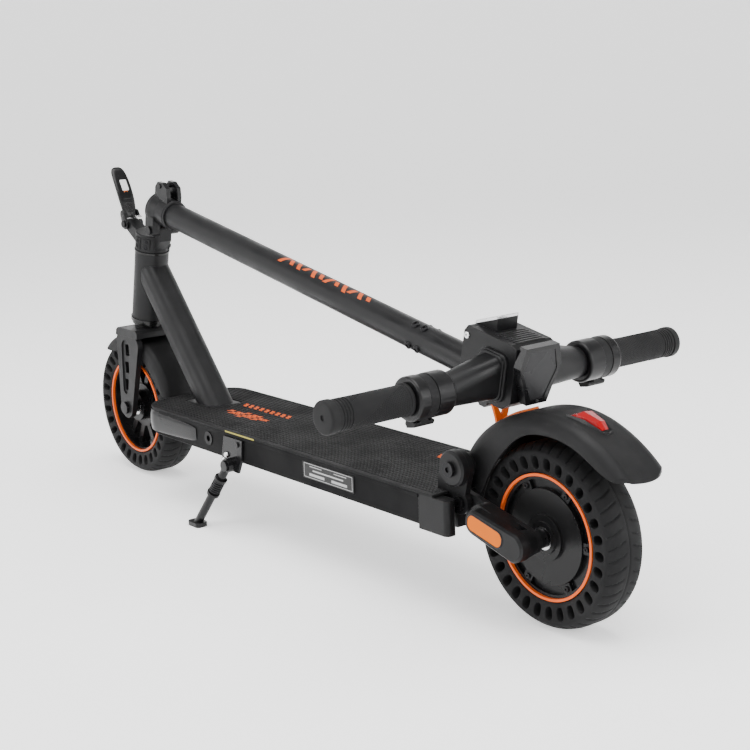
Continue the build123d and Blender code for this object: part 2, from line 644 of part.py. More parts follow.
def hinge_pins():
    """The fold hinge's pin and the fold lever's pin."""
    fold_pin = rod(FOLD_PIVOT_X, FOLD_PIVOT_Z, FOLD_PIN_RADIUS, -23, 23)
    fold_pin += both_sides(rod(FOLD_PIVOT_X, FOLD_PIVOT_Z, 6, 22.5, 25))
    lever_pin = rod(LEVER_PIVOT_X, LEVER_PIVOT_Z, LEVER_PIN_RADIUS, -13.5, 13.5)
    lever_pin += both_sides(rod(LEVER_PIVOT_X, LEVER_PIVOT_Z, 5, 13.2, 15.5))
    return fold_pin + lever_pin


def fold_lever():
    """The long lever that closes the fold, standing open."""
    rear = Spline((-4, 9.5), (-3.2, 40), (2.5, LEVER_LENGTH - 4))
    tip = ThreePointArc((2.5, LEVER_LENGTH - 4), (5.5, LEVER_LENGTH), (8, LEVER_LENGTH - 5))
    front = Spline((8, LEVER_LENGTH - 5), (3, 40), (5, 9.5))
    outline = make_face(rear + tip + front + Line((5, 9.5), (-4, 9.5)))
    blade = slab(outline, -LEVER_HALF_WIDTH, LEVER_HALF_WIDTH)
    cheek_outline = rounded_ends((0, 0, 8), (0.5, 14, 5))
    cheeks = both_sides(slab(cheek_outline, 9 + BODY_GAP, LEVER_HALF_WIDTH + 0.4))
    hole = rod(0, 0, LEVER_PIN_RADIUS + RUNNING_FIT, -20, 20)
    return LEVER * (blade + cheeks - hole)


def latch_hook():
    """The metal tongue on the lever that reaches over the stem's catch when the scooter stands up."""
    points = ((-26, 374.2), (4, 374.2), (4, 378.6), (-22, 378.6), (-26, 377))
    plate = polygon(*[(LEVER_PIVOT_X + x, z) for x, z in points])
    return slab(plate, -3.2, 3.2) - fold_lever()


# --- Stem and handlebar ---------------------------------------------------------------------------
def fold_bell():
    """The round face at the stem's lower end and the bell behind it."""
    face = -FOLD_FACE + 0.4
    profile = Polyline(
        (face, 0),
        (face, STEM_RADIUS + 5.5),
        (face + 1.5, STEM_RADIUS + 7),
        (face + 8, STEM_RADIUS + 7),
        (9, STEM_RADIUS + 3.5),
        (27, STEM_RADIUS + 3.5),
        (28.5, STEM_RADIUS + 2.5),
        (31.5, STEM_RADIUS + 2.5),
        (31.5, 0), (face, 0),
    )
    return Pos(0, 0, FOLD_OFFSET) * revolve(Plane.XZ * make_face(profile), Axis.X)


def fold_head():
    """The stem's lower end with its two hinge knuckles."""
    face = -FOLD_FACE + 0.4
    head = fold_bell()
    block = polygon((face, 2), (face, 20), (8.5, 20), (8.5, 0), (-2, -2))
    knuckle = slab(block, 10, KNUCKLE_HALF_WIDTH) + rod(0, 0, KNUCKLE_RADIUS + 0.5, 10, KNUCKLE_HALF_WIDTH)
    head += both_sides(knuckle)
    slot = Pos(-2, 0, 0) * Box(23, 2 * (TONGUE_HALF_WIDTH + BODY_GAP), 20)
    head -= slot
    head -= rod(0, 0, FOLD_PIN_RADIUS + RUNNING_FIT, -30, 30)
    head -= Pos(STEM_START + 40, 0, FOLD_OFFSET) * Rot(0, 90, 0) * Cylinder(STEM_RADIUS, 80)
    return STEM * head


def stem_tube():
    """The long round tube between the fold and the handlebar."""
    length = STEM_END - STEM_START
    middle = Pos((STEM_START + STEM_END) / 2, 0, FOLD_OFFSET) * Rot(0, 90, 0)
    tube = middle * (Cylinder(STEM_RADIUS, length) - Cylinder(STEM_RADIUS - 2.5, length + 2))
    for place in stem_bolt_places():
        tube -= place * Cylinder(3, 14)
    return STEM * tube


def stem_bolt_places():
    """Where the bolts stand on the stem, with local Z pointing out of the tube."""
    places = []
    for before in STEM_BOLTS_BEFORE_BAR:
        for turn in range(4):
            angle = 25 + 90 * turn
            axis = Pos(BAR_REACH - before, 0, FOLD_OFFSET) * Rot(angle, 0, 0)
            places.append(axis * Pos(0, 0, STEM_RADIUS))
    return places


def stem_bolts():
    """The round-headed bolts near the top of the stem."""
    bolts = []
    for place in stem_bolt_places():
        head = Pos(0, 0, 0.8) * Cylinder(5, 3)
        head = fillet(head.edges().filter_by(GeomType.CIRCLE).sort_by(Axis.Z)[-1], 1.2)
        shank = Pos(0, 0, -2.5) * Cylinder(3, 5)
        drum = Pos(0, 0, -STEM_RADIUS) * Rot(0, 90, 0) * Cylinder(STEM_RADIUS, 30)
        bolts.append(place * (head - drum + shank))
    return STEM * Compound(children=bolts)


def latch_catch():
    """The two ears on the stem's lower end and the bolt that the lever's hook draws down."""
    ear = polygon((-6, 44), (-6, 61), (0, 69), (12, 70), (24, 64), (27, 52), (27, 44))
    ears = both_sides(slab(ear, 5.5, 11.5))
    ears += rod(6, 64, 3.4, -13, 13)
    return STEM * (ears - fold_bell())


HEAD_UNIT_OUTLINE = (
    (-52, -20), (-51, 40), (-46, 47), (22, 47), (30, 44), (30, -16), (18, -26), (-40, -27)
)


def head_unit():
    """The moulded block that joins stem, handlebar, display and headlight."""
    block = slab(polygon(*HEAD_UNIT_OUTLINE), -HEAD_UNIT_HALF_WIDTH, HEAD_UNIT_HALF_WIDTH)
    block = chamfer(block.edges().filter_by(Axis.Y).group_by(Axis.X)[0], 3)
    block += lamp_slice(45, LAMP_RIM)
    stem = Pos(-22 - 50, 0, -BAR_RISE) * Rot(0, 90, 0) * Cylinder(STEM_RADIUS, 100)
    return BAR * (block - stem - rod(0, 0, BAR_RADIUS, -60, 60))


def lamp_slice(low, high):
    """A slice of the wedge-shaped headlight, highest on the side of the display."""
    drop = LAMP_LENGTH * LAMP_SLOPE
    foot = max(low - drop, 45)
    far_end = LAMP_END - LAMP_LENGTH
    outline = polygon((LAMP_END, low), (LAMP_END, high), (far_end, high - drop), (far_end, foot))
    return slab(outline, -LAMP_HALF_WIDTH, LAMP_HALF_WIDTH)


def headlight_lens():
    """The headlight's lens on the sloping face of the headlight."""
    return BAR * lamp_slice(LAMP_RIM, LAMP_RIM + LENS_THICKNESS)


def display_outline(grow):
    """The six-sided outline of the display, grown outward."""
    half = ((18, 42), (24, 20), (9, -11))
    points = [(side + grow, height + grow * (1 if height > 0 else -1)) for side, height in half]
    other = [(-side, height) for side, height in reversed(points)]
    return polygon(*points, *other)


def display_bezel():
    """The frame around the display at the upper end of the stem."""
    frame = extrude(Plane.YZ.offset(30) * display_outline(5.5), 10.5)
    recess = extrude(Plane.YZ.offset(38) * display_outline(0), 5)
    frame -= recess
    frame -= Pos(36, 0, BUTTON_HEIGHT) * Rot(0, 90, 0) * Cylinder(BUTTON_RADIUS + 0.35, 14)
    return BAR * frame


def display_glass():
    """The display's glass."""
    return BAR * extrude(Plane.YZ.offset(38) * display_outline(-0.1), 1.8)


def power_button():
    """The small power button under the display."""
    return BAR * Pos(38.4, 0, BUTTON_HEIGHT) * Rot(0, 90, 0) * Cylinder(BUTTON_RADIUS, 6)


def hook_nub():
    """The grey nub under the head unit that meets the rear fender's catch when folded."""
    outline = polygon((-41, -26.9), (-23, -26.8), (-24.5, -41), (-28, -45), (-36, -45), (-40, -41))
    nub = slab(outline, -8, 8)
    block = slab(polygon(*HEAD_UNIT_OUTLINE), -40, 40)
    return BAR * (nub - block)


def handlebar_tube():
    """The straight tube inside the handlebar."""
    length = 2 * (BAR_HALF_WIDTH - 3)
    return BAR * Rot(90, 0, 0) * (Cylinder(BAR_RADIUS, length) - Cylinder(BAR_RADIUS - 2, length + 2))


def handlebar_arms():
    """The tapered arms from the head unit out to the controls."""
    inner = Plane.XZ.offset(-HEAD_UNIT_HALF_WIDTH) * Pos(0, 7) * RectangleRounded(36, 49, 12)
    outer = Plane.XZ.offset(-97) * Pos(0, 0) * RectangleRounded(34, 34, 16.5)
    arm = loft([inner.face(), outer.face()])
    return BAR * both_sides(arm - rod(0, 0, BAR_RADIUS, 20, 110))


def grip():
    """A rubber grip with a thicker end, along local -Y."""
    grip = rod(0, 0, GRIP_RADIUS, GRIP_INNER_Y, BAR_HALF_WIDTH - 4)
    grip += rod(0, 0, GRIP_RADIUS + 1, GRIP_INNER_Y, GRIP_INNER_Y + 5)
    end = rod(0, 0, GRIP_RADIUS + 1, BAR_HALF_WIDTH - 9, BAR_HALF_WIDTH)
    grip += fillet(end.edges().filter_by(GeomType.CIRCLE).group_by(Axis.Y)[-1], 2.5)
    for index in range(4):
        ring_y = BAR_HALF_WIDTH - 13 - 3.6 * index
        ring = rod(0, 0, GRIP_RADIUS + 2, ring_y, ring_y + 1.4)
        ring -= rod(0, 0, GRIP_RADIUS - 0.8, ring_y, ring_y + 1.4)
        grip -= ring
    return grip - rod(0, 0, BAR_RADIUS, GRIP_INNER_Y - 5, BAR_HALF_WIDTH - 3)


def control_housing():
    """The housing inboard of a grip, in two halves on either side of the paddle's ring."""
    low = rod(0, 0, CONTROL_RADIUS, 97, PADDLE_LOW - BODY_GAP)
    low = fillet(low.edges().filter_by(GeomType.CIRCLE).group_by(Axis.Y)[0], 3)
    high = rod(0, 0, CONTROL_RADIUS, PADDLE_HIGH + BODY_GAP, GRIP_INNER_Y - 1)
    high = fillet(high.edges().filter_by(GeomType.CIRCLE).group_by(Axis.Y)[-1], 3)
    sleeve = rod(0, 0, BAR_RADIUS + 1.5, 98, GRIP_INNER_Y - 1)
    return low + high + sleeve - rod(0, 0, BAR_RADIUS, 90, 150)


def paddle():
    """A thumb paddle: a ring around the bar and a blade below it."""
    ring = rod(0, 0, CONTROL_RADIUS - PADDLE_STEP, PADDLE_LOW, PADDLE_HIGH)
    arm_outline = polygon((-7, -15), (7, -15), (9, -26.5), (7.5, -29.6), (-3, -33.5), (-6.5, -30))
    arm = slab(arm_outline, PADDLE_LOW, PADDLE_HIGH)
    blade_outline = polygon((-5.5, -24.5), (8.4, -24.5), (9, -26.5), (7.5, -29.6), (-3, -33.5), (-6.5, -30))
    blade = slab(blade_outline, 112, 138)
    return ring + arm + blade - rod(0, 0, BAR_RADIUS + 1.5 + RUNNING_FIT, 100, 150)


def on_right(shape):
    """Places a handlebar piece that was drawn on local +Y, which is the rider's right."""
    return BAR * shape


def on_left(shape):
    """Places the mirror image of a handlebar piece on the rider's left."""
    return BAR * mirror(shape, about=Plane.XZ)


# --- Side stand -----------------------------------------------------------------------------------
def stand_bracket():
    """The plate on the deck's side that carries the stand, with its rivets and its pin."""
    outline = polygon((484, 125), (526, 125), (533, 97), (524, 82), (497, 80), (488, 98))
    plate = slab(outline, TUB_HALF_WIDTH, TUB_HALF_WIDTH + 3.5)
    x, z = STAND_PIVOT_X, STAND_PIVOT_Z
    boss = rod(x, z, 9, TUB_HALF_WIDTH + 3.5, STAND_PIVOT_Y - 4 - BODY_GAP)
    pin = rod(x, z, 4, TUB_HALF_WIDTH, STAND_PIVOT_Y + 5)
    pin += rod(x, z, 7, STAND_PIVOT_Y + 4 + BODY_GAP, STAND_PIVOT_Y + 7)
    rivets = rod(524, 101, 3.5, TUB_HALF_WIDTH, TUB_HALF_WIDTH + 5.5)
    rivets += rod(495, 118, 3.5, TUB_HALF_WIDTH, TUB_HALF_WIDTH + 5.5)
    return plate + boss + pin + rivets


def stand_leg_frame():
    """The line from the stand's pivot to its foot, as a frame with local Z along it."""
    pivot = Vector(STAND_PIVOT_X, STAND_PIVOT_Y, STAND_PIVOT_Z)
    foot = Vector(STAND_FOOT_X, STAND_FOOT_Y, 3)
    return Plane(origin=pivot, z_dir=foot - pivot), (foot - pivot).length


def stand_leg():
    """The stand's leg with its hinge eye, two collars and a flat foot."""
    frame, length = stand_leg_frame()
    leg = extrude(frame.offset(8) * Circle(5.5), length - 8)
    for along in (26, 52):
        leg += extrude(frame.offset(along - 4) * Circle(8.5), 4)
    eye = rod(STAND_PIVOT_X, STAND_PIVOT_Z, 9, STAND_PIVOT_Y - 4, STAND_PIVOT_Y + 4)
    foot = Pos(STAND_FOOT_X, STAND_FOOT_Y, 3) * Box(26, 17, 6)
    foot = fillet(foot.edges().filter_by(Axis.Z), 5)
    leg += eye + foot
    leg -= rod(STAND_PIVOT_X, STAND_PIVOT_Z, 4 + RUNNING_FIT, STAND_PIVOT_Y - 10, STAND_PIVOT_Y + 10)
    clear = Pos(STAND_FOOT_X, STAND_FOOT_Y, -20) * Box(200, 200, 40)
    outside = Pos(STAND_PIVOT_X, STAND_PIVOT_Y - 4 - 20, STAND_PIVOT_Z) * Box(60, 40, 60)
    return leg - clear - outside


def stand_spring():
    """The coil spring between the stand's collars, as a sleeve of its outer size."""
    frame = stand_leg_frame()[0]
    return extrude(frame.offset(26) * (Circle(8) - Circle(5.5)), 22)


# --- All sub-parts --------------------------------------------------------------------------------
def build_parts():
    """Every sub-part by its name, laid out around the rear axle."""
    return {
        "deck_frame": deck_frame(),
        "bottom_plate": bottom_plate(),
        "deck_mat": deck_mat(),
        "nose_cover": nose_cover(),
        "rear_cover": rear_cover(),
        "battery_pack": battery_pack(),
        "charge_socket": charge_socket(),
        "rating_plate": rating_plate(),
        "down_tube": down_tube(),
        "head_tube": head_tube(),
        "headset_bearings": headset_bearings(),
        "headset_seals": headset_seals(),
        "stand_bracket": stand_bracket(),
        "rear_brackets": rear_brackets(),
        "rear_pivot_bolts": rear_pivot_bolts(),
        "fork_crown": fork_crown(),
        "fork_legs": fork_legs(),
        "front_axle": FRONT_AXLE * front_axle(),
        "front_fender": front_fender(),
        "fold_base": fold_base(),
        "hinge_pins": hinge_pins(),
        "front_tyre": FRONT_AXLE * tyre(),
        "front_rim": FRONT_AXLE * front_rim(),
        "front_rim_rings": FRONT_AXLE * rim_rings(23.5),
        "front_wheel_bearings": FRONT_AXLE * wheel_bearings(14, 21),
        "fold_lever": fold_lever(),
        "latch_hook": latch_hook(),
        "stem_tube": stem_tube(),
        "fold_head": fold_head(),
        "latch_catch": latch_catch(),
        "stem_bolts": stem_bolts(),
        "handlebar_tube": handlebar_tube(),
        "handlebar_arms": handlebar_arms(),
        "head_unit": head_unit(),
        "headlight_lens": headlight_lens(),
        "display_bezel": display_bezel(),
        "display_glass": display_glass(),
        "hook_nub": hook_nub(),
        "left_grip": on_left(grip()),
        "right_grip": on_right(grip()),
        "control_housings": BAR * both_sides(control_housing()),
        "brake_paddle": on_left(paddle()),
        "throttle_paddle": on_right(paddle()),
        "power_button": power_button(),
        "stand_leg": stand_leg(),
        "stand_spring": stand_spring(),
        "swing_arms": swing_arms(),
        "arm_covers": arm_covers(),
        "side_reflectors": side_reflectors(),
        "rear_axle": REAR_AXLE * rear_axle(),
        "motor_stator": REAR_AXLE * motor_stator(),
        "rear_tyre": REAR_AXLE * tyre(),
        "motor_shell": REAR_AXLE * motor_shell(),
        "motor_covers": REAR_AXLE * motor_covers(),
        "rear_rim_rings": REAR_AXLE * rim_rings(22.5),
        "rear_wheel_bearings": REAR_AXLE * wheel_bearings(15, 24),
        "rear_fender": rear_fender(),
        "fender_strap": fender_strap(),
        "fender_leaf": fender_leaf(),
        "tail_light": tail_light(),
    }


def main():
    """Writes one file for each sub-part."""
    os.makedirs("parts", exist_ok=True)
    for name, shape in build_parts().items():
        export_step(Pos(-ORIGIN_X, 0, 0) * shape, f"parts/{name}.step")


if __name__ == "__main__":
    main()
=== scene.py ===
import json
from dataclasses import dataclass
from math import atan2, cos, hypot, pi, radians, sin, sqrt, tau

import bmesh
import bpy
from bpy.props import FloatProperty, FloatVectorProperty, IntProperty, PointerProperty
from mathutils import Matrix, Vector


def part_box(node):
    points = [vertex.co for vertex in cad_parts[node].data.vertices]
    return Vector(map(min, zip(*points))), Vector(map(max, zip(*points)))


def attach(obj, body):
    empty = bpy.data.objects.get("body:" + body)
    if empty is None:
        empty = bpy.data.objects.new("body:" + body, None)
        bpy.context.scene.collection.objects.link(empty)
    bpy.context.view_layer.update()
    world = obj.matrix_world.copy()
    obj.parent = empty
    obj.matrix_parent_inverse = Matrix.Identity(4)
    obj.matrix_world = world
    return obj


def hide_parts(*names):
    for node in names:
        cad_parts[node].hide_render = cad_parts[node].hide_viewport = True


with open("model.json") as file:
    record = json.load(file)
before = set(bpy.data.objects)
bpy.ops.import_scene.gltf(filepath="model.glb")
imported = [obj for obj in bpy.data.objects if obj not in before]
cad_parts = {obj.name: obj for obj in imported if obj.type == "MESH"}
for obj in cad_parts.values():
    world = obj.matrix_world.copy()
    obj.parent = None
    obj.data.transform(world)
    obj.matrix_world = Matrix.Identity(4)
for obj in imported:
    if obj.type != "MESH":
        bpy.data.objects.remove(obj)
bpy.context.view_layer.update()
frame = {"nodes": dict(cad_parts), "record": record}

bl_info = {
    "name": "Folded Kick Scooter",
    "version": (1, 0, 0),
    "blender": (4, 5, 0),
    "location": "3D View > Sidebar > Scooter",
    "description": "Builds the looks of a folded electric kick scooter around its packed frame",
    "category": "Object",
}

MM = 0.001


def middle(node):
    """The centre of a frame node's box."""
    low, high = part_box(node)
    return (low + high) / 2


REAR_AXLE = middle("rear_tyre")
FRONT_AXLE = middle("front_tyre")
LEFT = Vector((0, 1, 0))
STEM_SLOPE = radians(11.15)
STEM_BACK = Vector((-cos(STEM_SLOPE), 0.0, -sin(STEM_SLOPE)))
STEM_UP = Vector((-sin(STEM_SLOPE), 0.0, cos(STEM_SLOPE)))
HEAD_RAKE = radians(12.8)
LEVER_LEAN = radians(21)


def rear_x(x):
    """A length ahead of the rear axle, in millimetres, as a place in the frame."""
    return REAR_AXLE.x + x * MM


STEM_PIVOT = Vector((rear_x(777), 0.0, 364.2 * MM))
STEM_HEIGHT = 26.8
STEM_RADIUS = 17.0
BAR_AXIS = Vector((rear_x(68.08), 0.0, 258.41 * MM))
FOLD_TOP = Vector((rear_x(812), 0.0, 331 * MM))
LEVER_PIVOT = Vector((rear_x(864), 0.0, 366 * MM))
STAND_PIVOT = Vector((rear_x(509), 84.5 * MM, 90 * MM))
STAND_FOOT = Vector((rear_x(568), 99 * MM, 3 * MM))


# --- Sizes and colours a user can change ----------------------------------------------------------
def length(name, description, default, low=0.0, high=1.0):
    """A length property in metres."""
    return FloatProperty(
        name=name, description=description, default=default, min=low, max=high, unit="LENGTH", precision=5
    )


def colour(name, description, default):
    """A colour property, in linear light."""
    return FloatVectorProperty(
        name=name, description=description, default=default, size=3, min=0.0, max=1.0, subtype="COLOR"
    )


def count(name, description, default, low=1, high=400):
    """A whole-number property."""
    return IntProperty(name=name, description=description, default=default, min=low, max=high)


class ScooterTyres(bpy.types.PropertyGroup):
    """The two solid tyres."""

    holes: count("Side holes", "Number of oval holes through the tyre", 30)
    hole_length: length("Hole length", "Length of a hole along the radius", 14 * MM)
    hole_width: length("Hole width", "Width of a hole", 9.6 * MM)
    groove_depth: length("Groove depth", "Depth of the tread grooves", 1.7 * MM)
    groove_width: length("Groove width", "Width of the tread grooves", 2.6 * MM)
    grooves: count("Grooves", "Number of tread grooves round one side", 46)


class ScooterGrips(bpy.types.PropertyGroup):
    """The handlebar grips."""

    cell: length("Cell", "Width of a honeycomb cell", 2.6 * MM)
    cell_depth: length("Cell depth", "Depth of a honeycomb cell", 0.45 * MM)


class ScooterDeck(bpy.types.PropertyGroup):
    """The deck's rubber mat."""

    rib_pitch: length("Rib pitch", "Distance from one rib to the next", 5.4 * MM)
    rib_depth: length("Rib depth", "Depth of the grooves between the ribs", 1.3 * MM)
    border: length("Border", "Width of the plain edge round the ribs", 4 * MM)


class ScooterSpring(bpy.types.PropertyGroup):
    """The coil spring on the side stand."""

    coils: count("Coils", "Number of turns of wire", 6)
    wire: length("Wire", "Radius of the spring wire", 0.95 * MM)


class ScooterColours(bpy.types.PropertyGroup):
    """The colours of the scooter's finishes."""

    paint: colour("Paint", "Anthracite paint on the frame", (0.0060, 0.0060, 0.0065))
    black: colour("Black plastic", "Moulded covers and fenders", (0.0038, 0.0038, 0.0042))
    rubber: colour("Rubber", "Tyres, grips and mat", (0.0050, 0.0050, 0.0054))
    orange: colour("Orange", "Rings, straps and prints", (0.66, 0.095, 0.010))
    reflector: colour("Reflector", "Side reflectors", (0.60, 0.125, 0.0))
    red: colour("Tail light", "Tail lens", (0.26, 0.001, 0.003))


class ScooterStage(bpy.types.PropertyGroup):
    """The studio round the scooter."""

    floor: colour("Floor", "Colour of the floor and backdrop", (0.93, 0.93, 0.93))
    key_power: FloatProperty(name="Key light", description="Power of the large top light", default=120.0)
    fill_power: FloatProperty(name="Fill light", description="Power of the side lights", default=44.0)


GROUPS = {
    "scooter_tyres": ScooterTyres,
    "scooter_grips": ScooterGrips,
    "scooter_deck": ScooterDeck,
    "scooter_spring": ScooterSpring,
    "scooter_colours": ScooterColours,
    "scooter_stage": ScooterStage,
}


# --- Node trees -----------------------------------------------------------------------------------
class Tree:
    """Adds nodes to a node tree and wires them."""

    def __init__(self, tree):
        self.tree = tree

    def add(self, kind, inputs=None, **settings):
        """A node with its settings, whose inputs are given as values or as sockets."""
        node = self.tree.nodes.new(kind)
        for key, value in settings.items():
            setattr(node, key, value)
        return self.feed(node, inputs or {})

    def link(self, source, target):
        """A wire from one socket to another."""
        self.tree.links.new(source, target)

    def feed(self, node, inputs):
        """Gives a node its inputs, as values or as sockets."""
        for key, value in inputs.items():
            if isinstance(value, bpy.types.NodeSocket):
                self.link(value, node.inputs[key])
            else:
                node.inputs[key].default_value = value
        return node

    def math(self, operation, *values):
        """The result of a Math node."""
        return self.add("ShaderNodeMath", dict(enumerate(values)), operation=operation).outputs[0]

    def mix(self, factor, first, second):
        """The result of mixing two colours."""
        node = self.add("ShaderNodeMix", {0: factor, 6: first, 7: second}, data_type="RGBA")
        return node.outputs[2]

    def ramp(self, value, low, high, to_low=0.0, to_high=1.0):
        """A value taken smoothly from one range to another."""
        names = {"Value": value, "From Min": low, "From Max": high, "To Min": to_low, "To Max": to_high}
        return self.add("ShaderNodeMapRange", names, interpolation_type="SMOOTHSTEP").outputs[0]

    def group(self, group, inputs):
        """A placed node group."""
        node = self.tree.nodes.new("ShaderNodeGroup")
        node.node_tree = group
        return self.feed(node, inputs)


def new_group(name, inputs, outputs):
    """An empty shader node group, with its inputs and outputs as (name, type, default)."""
    group = bpy.data.node_groups.new(name, "ShaderNodeTree")
    for label, kind, default in inputs:
        socket = group.interface.new_socket(label, in_out="INPUT", socket_type=kind)
        socket.default_value = default
    for label, kind in outputs:
        group.interface.new_socket(label, in_out="OUTPUT", socket_type=kind)
    tree = Tree(group)
    return group, tree, tree.add("NodeGroupInput").outputs, tree.add("NodeGroupOutput").inputs


FLOAT, COLOUR, VECTOR = "NodeSocketFloat", "NodeSocketColor", "NodeSocketVector"


def build_grain_group():
    """Fine grain of moulded plastic, cast paint or rubber: a height, and a blotchy mask."""
    group, tree, given, out = new_group(
        "Surface Grain",
        [("Scale", FLOAT, 900.0), ("Coarse Share", FLOAT, 0.3)],
        [("Height", FLOAT), ("Blotches", FLOAT)],
    )
    place = tree.add("ShaderNodeTexCoord").outputs["Object"]
    fine = tree.add(
        "ShaderNodeTexNoise", {"Vector": place, "Scale": given["Scale"], "Detail": 3.0, "Roughness": 0.6}
    ).outputs[0]
    cells = tree.add(
        "ShaderNodeTexVoronoi", {"Vector": place, "Scale": tree.math("MULTIPLY", given["Scale"], 1.7)}
    ).outputs[0]
    coarse = tree.math("MULTIPLY", cells, given["Coarse Share"])
    tree.link(tree.math("ADD", fine, coarse), out["Height"])
    blotches = tree.add("ShaderNodeTexNoise", {"Vector": place, "Scale": 14.0, "Detail": 5.0}).outputs[0]
    tree.link(tree.ramp(blotches, 0.3, 0.7), out["Blotches"])
    return group


def build_edge_group():
    """Rounded edges and the wear on them: a normal, and a mask that is broken up by noise."""
    group, tree, given, out = new_group(
        "Edge Wear",
        [("Width", FLOAT, 0.0008), ("Amount", FLOAT, 0.5)],
        [("Mask", FLOAT), ("Normal", VECTOR)],
    )
    rounded = tree.add("ShaderNodeBevel", {"Radius": given["Width"]}, samples=4).outputs[0]
    facing = tree.add("ShaderNodeNewGeometry").outputs["Normal"]
    dot = tree.add("ShaderNodeVectorMath", {0: rounded, 1: facing}, operation="DOT_PRODUCT").outputs["Value"]
    edge = tree.ramp(dot, 0.995, 0.86)
    place = tree.add("ShaderNodeTexCoord").outputs["Object"]
    breakup = tree.add("ShaderNodeTexNoise", {"Vector": place, "Scale": 160.0, "Detail": 4.0}).outputs[0]
    patchy = tree.math("MULTIPLY", edge, tree.ramp(breakup, 0.35, 0.65, 0.25, 1.0))
    tree.link(tree.math("MULTIPLY", patchy, given["Amount"]), out["Mask"])
    tree.link(rounded, out["Normal"])
    return group


def build_dust_group():
    """Thin dust that gathers on faces that look up."""
    group, tree, given, out = new_group("Dust", [("Amount", FLOAT, 0.3)], [("Mask", FLOAT)])
    facing = tree.add("ShaderNodeNewGeometry").outputs["Normal"]
    upward = tree.add("ShaderNodeSeparateXYZ", {0: facing}).outputs["Z"]
    place = tree.add("ShaderNodeTexCoord").outputs["Object"]
    clouds = tree.add("ShaderNodeTexNoise", {"Vector": place, "Scale": 34.0, "Detail": 6.0}).outputs[0]
    lying = tree.math("MULTIPLY", tree.ramp(upward, 0.1, 1.0), tree.ramp(clouds, 0.35, 0.75))
    tree.link(tree.math("MULTIPLY", lying, given["Amount"]), out["Mask"])
    return group


def build_bar_group():
    """One printed bar with slanted ends, as a mask over two coordinates."""
    sizes = ("Centre U", "Centre V", "Half Length", "Half Width", "Slant")
    inputs = [("U", FLOAT, 0.0), ("V", FLOAT, 0.0)] + [(size, FLOAT, 0.01) for size in sizes]
    group, tree, given, out = new_group("Printed Bar", inputs, [("Mask", FLOAT)])
    across = tree.math("SUBTRACT", given["V"], given["Centre V"])
    slid = tree.math("MULTIPLY", across, given["Slant"])
    along = tree.math("SUBTRACT", tree.math("SUBTRACT", given["U"], given["Centre U"]), slid)
    in_length = tree.math("LESS_THAN", tree.math("ABSOLUTE", along), given["Half Length"])
    in_width = tree.math("LESS_THAN", tree.math("ABSOLUTE", across), given["Half Width"])
    tree.link(tree.math("MULTIPLY", in_length, in_width), out["Mask"])
    return group


EFFECTS = {}


def build_effects():
    """Builds the shared node groups once."""
    EFFECTS["grain"] = build_grain_group()
    EFFECTS["edge"] = build_edge_group()
    EFFECTS["dust"] = build_dust_group()
    EFFECTS["bar"] = build_bar_group()


@dataclass
class Finish:
    """How one material slot looks."""

    base: tuple
    rough: float
    metallic: float = 0.0
    coat: float = 0.0
    scale: float = 900.0
    bump: float = 0.12
    wear: float = 0.25
    dust: float = 0.03
    spread: float = 0.08
    edge: float = 0.6
    wear_colour: tuple = (0.06, 0.06, 0.06)
    print_on: object = None
    specular: float = 0.2


def rgba(rgb, factor=1.0):
    """A colour with alpha, made lighter or darker."""
    return (*(min(1.0, value * factor) for value in rgb), 1.0)


def build_material(slot, finish):
    """The procedural material of one slot."""
    material = bpy.data.materials.new("scooter_" + slot)
    material.use_nodes = True
    material.diffuse_color = rgba(finish.base)
    tree = Tree(material.node_tree)
    shader = material.node_tree.nodes["Principled BSDF"]
    shader.inputs["Metallic"].default_value = finish.metallic
    shader.inputs["Coat Weight"].default_value = finish.coat
    shader.inputs["Coat Roughness"].default_value = 0.08
    shader.inputs["Specular IOR Level"].default_value = finish.specular
    grain = tree.group(EFFECTS["grain"], {"Scale": finish.scale, "Coarse Share": 0.35}).outputs
    edge = tree.group(EFFECTS["edge"], {"Width": finish.edge * MM, "Amount": finish.wear}).outputs
    dust = tree.group(EFFECTS["dust"], {"Amount": finish.dust}).outputs
    body = tree.mix(grain["Blotches"], rgba(finish.base, 0.92), rgba(finish.base, 1.07))
    if finish.print_on:
        body = finish.print_on(tree, body)
    worn = tree.mix(edge["Mask"], body, rgba(finish.wear_colour))
    dusty = tree.mix(dust["Mask"], worn, (0.16, 0.155, 0.15, 1.0))
    tree.link(dusty, shader.inputs["Base Color"])
    low, high = finish.rough - finish.spread, finish.rough + finish.spread
    rough = tree.ramp(grain["Blotches"], 0.0, 1.0, max(0.02, low), high)
    rough = tree.math("ADD", rough, tree.math("MULTIPLY", dust["Mask"], 0.3))
    tree.link(rough, shader.inputs["Roughness"])
    bump = tree.add(
        "ShaderNodeBump",
        {"Height": grain["Height"], "Distance": 0.0002, "Strength": finish.bump, "Normal": edge["Normal"]},
    )
    tree.link(bump.outputs[0], shader.inputs["Normal"])
    return material


# --- Prints ---------------------------------------------------------------------------------------
def printed(tree, under, ink, u, v, bars):
    """Prints bars, given as (u, v, half length, half width, slant) in metres, over a colour."""
    mask = None
    for centre_u, centre_v, half_length, half_width, slant in bars:
        sizes = {"U": u, "V": v, "Centre U": centre_u, "Centre V": centre_v}
        sizes.update({"Half Length": half_length, "Half Width": half_width, "Slant": slant})
        bar = tree.group(EFFECTS["bar"], sizes).outputs[0]
        mask = bar if mask is None else tree.math("MAXIMUM", mask, bar)
    return tree.mix(mask, under, rgba(ink))


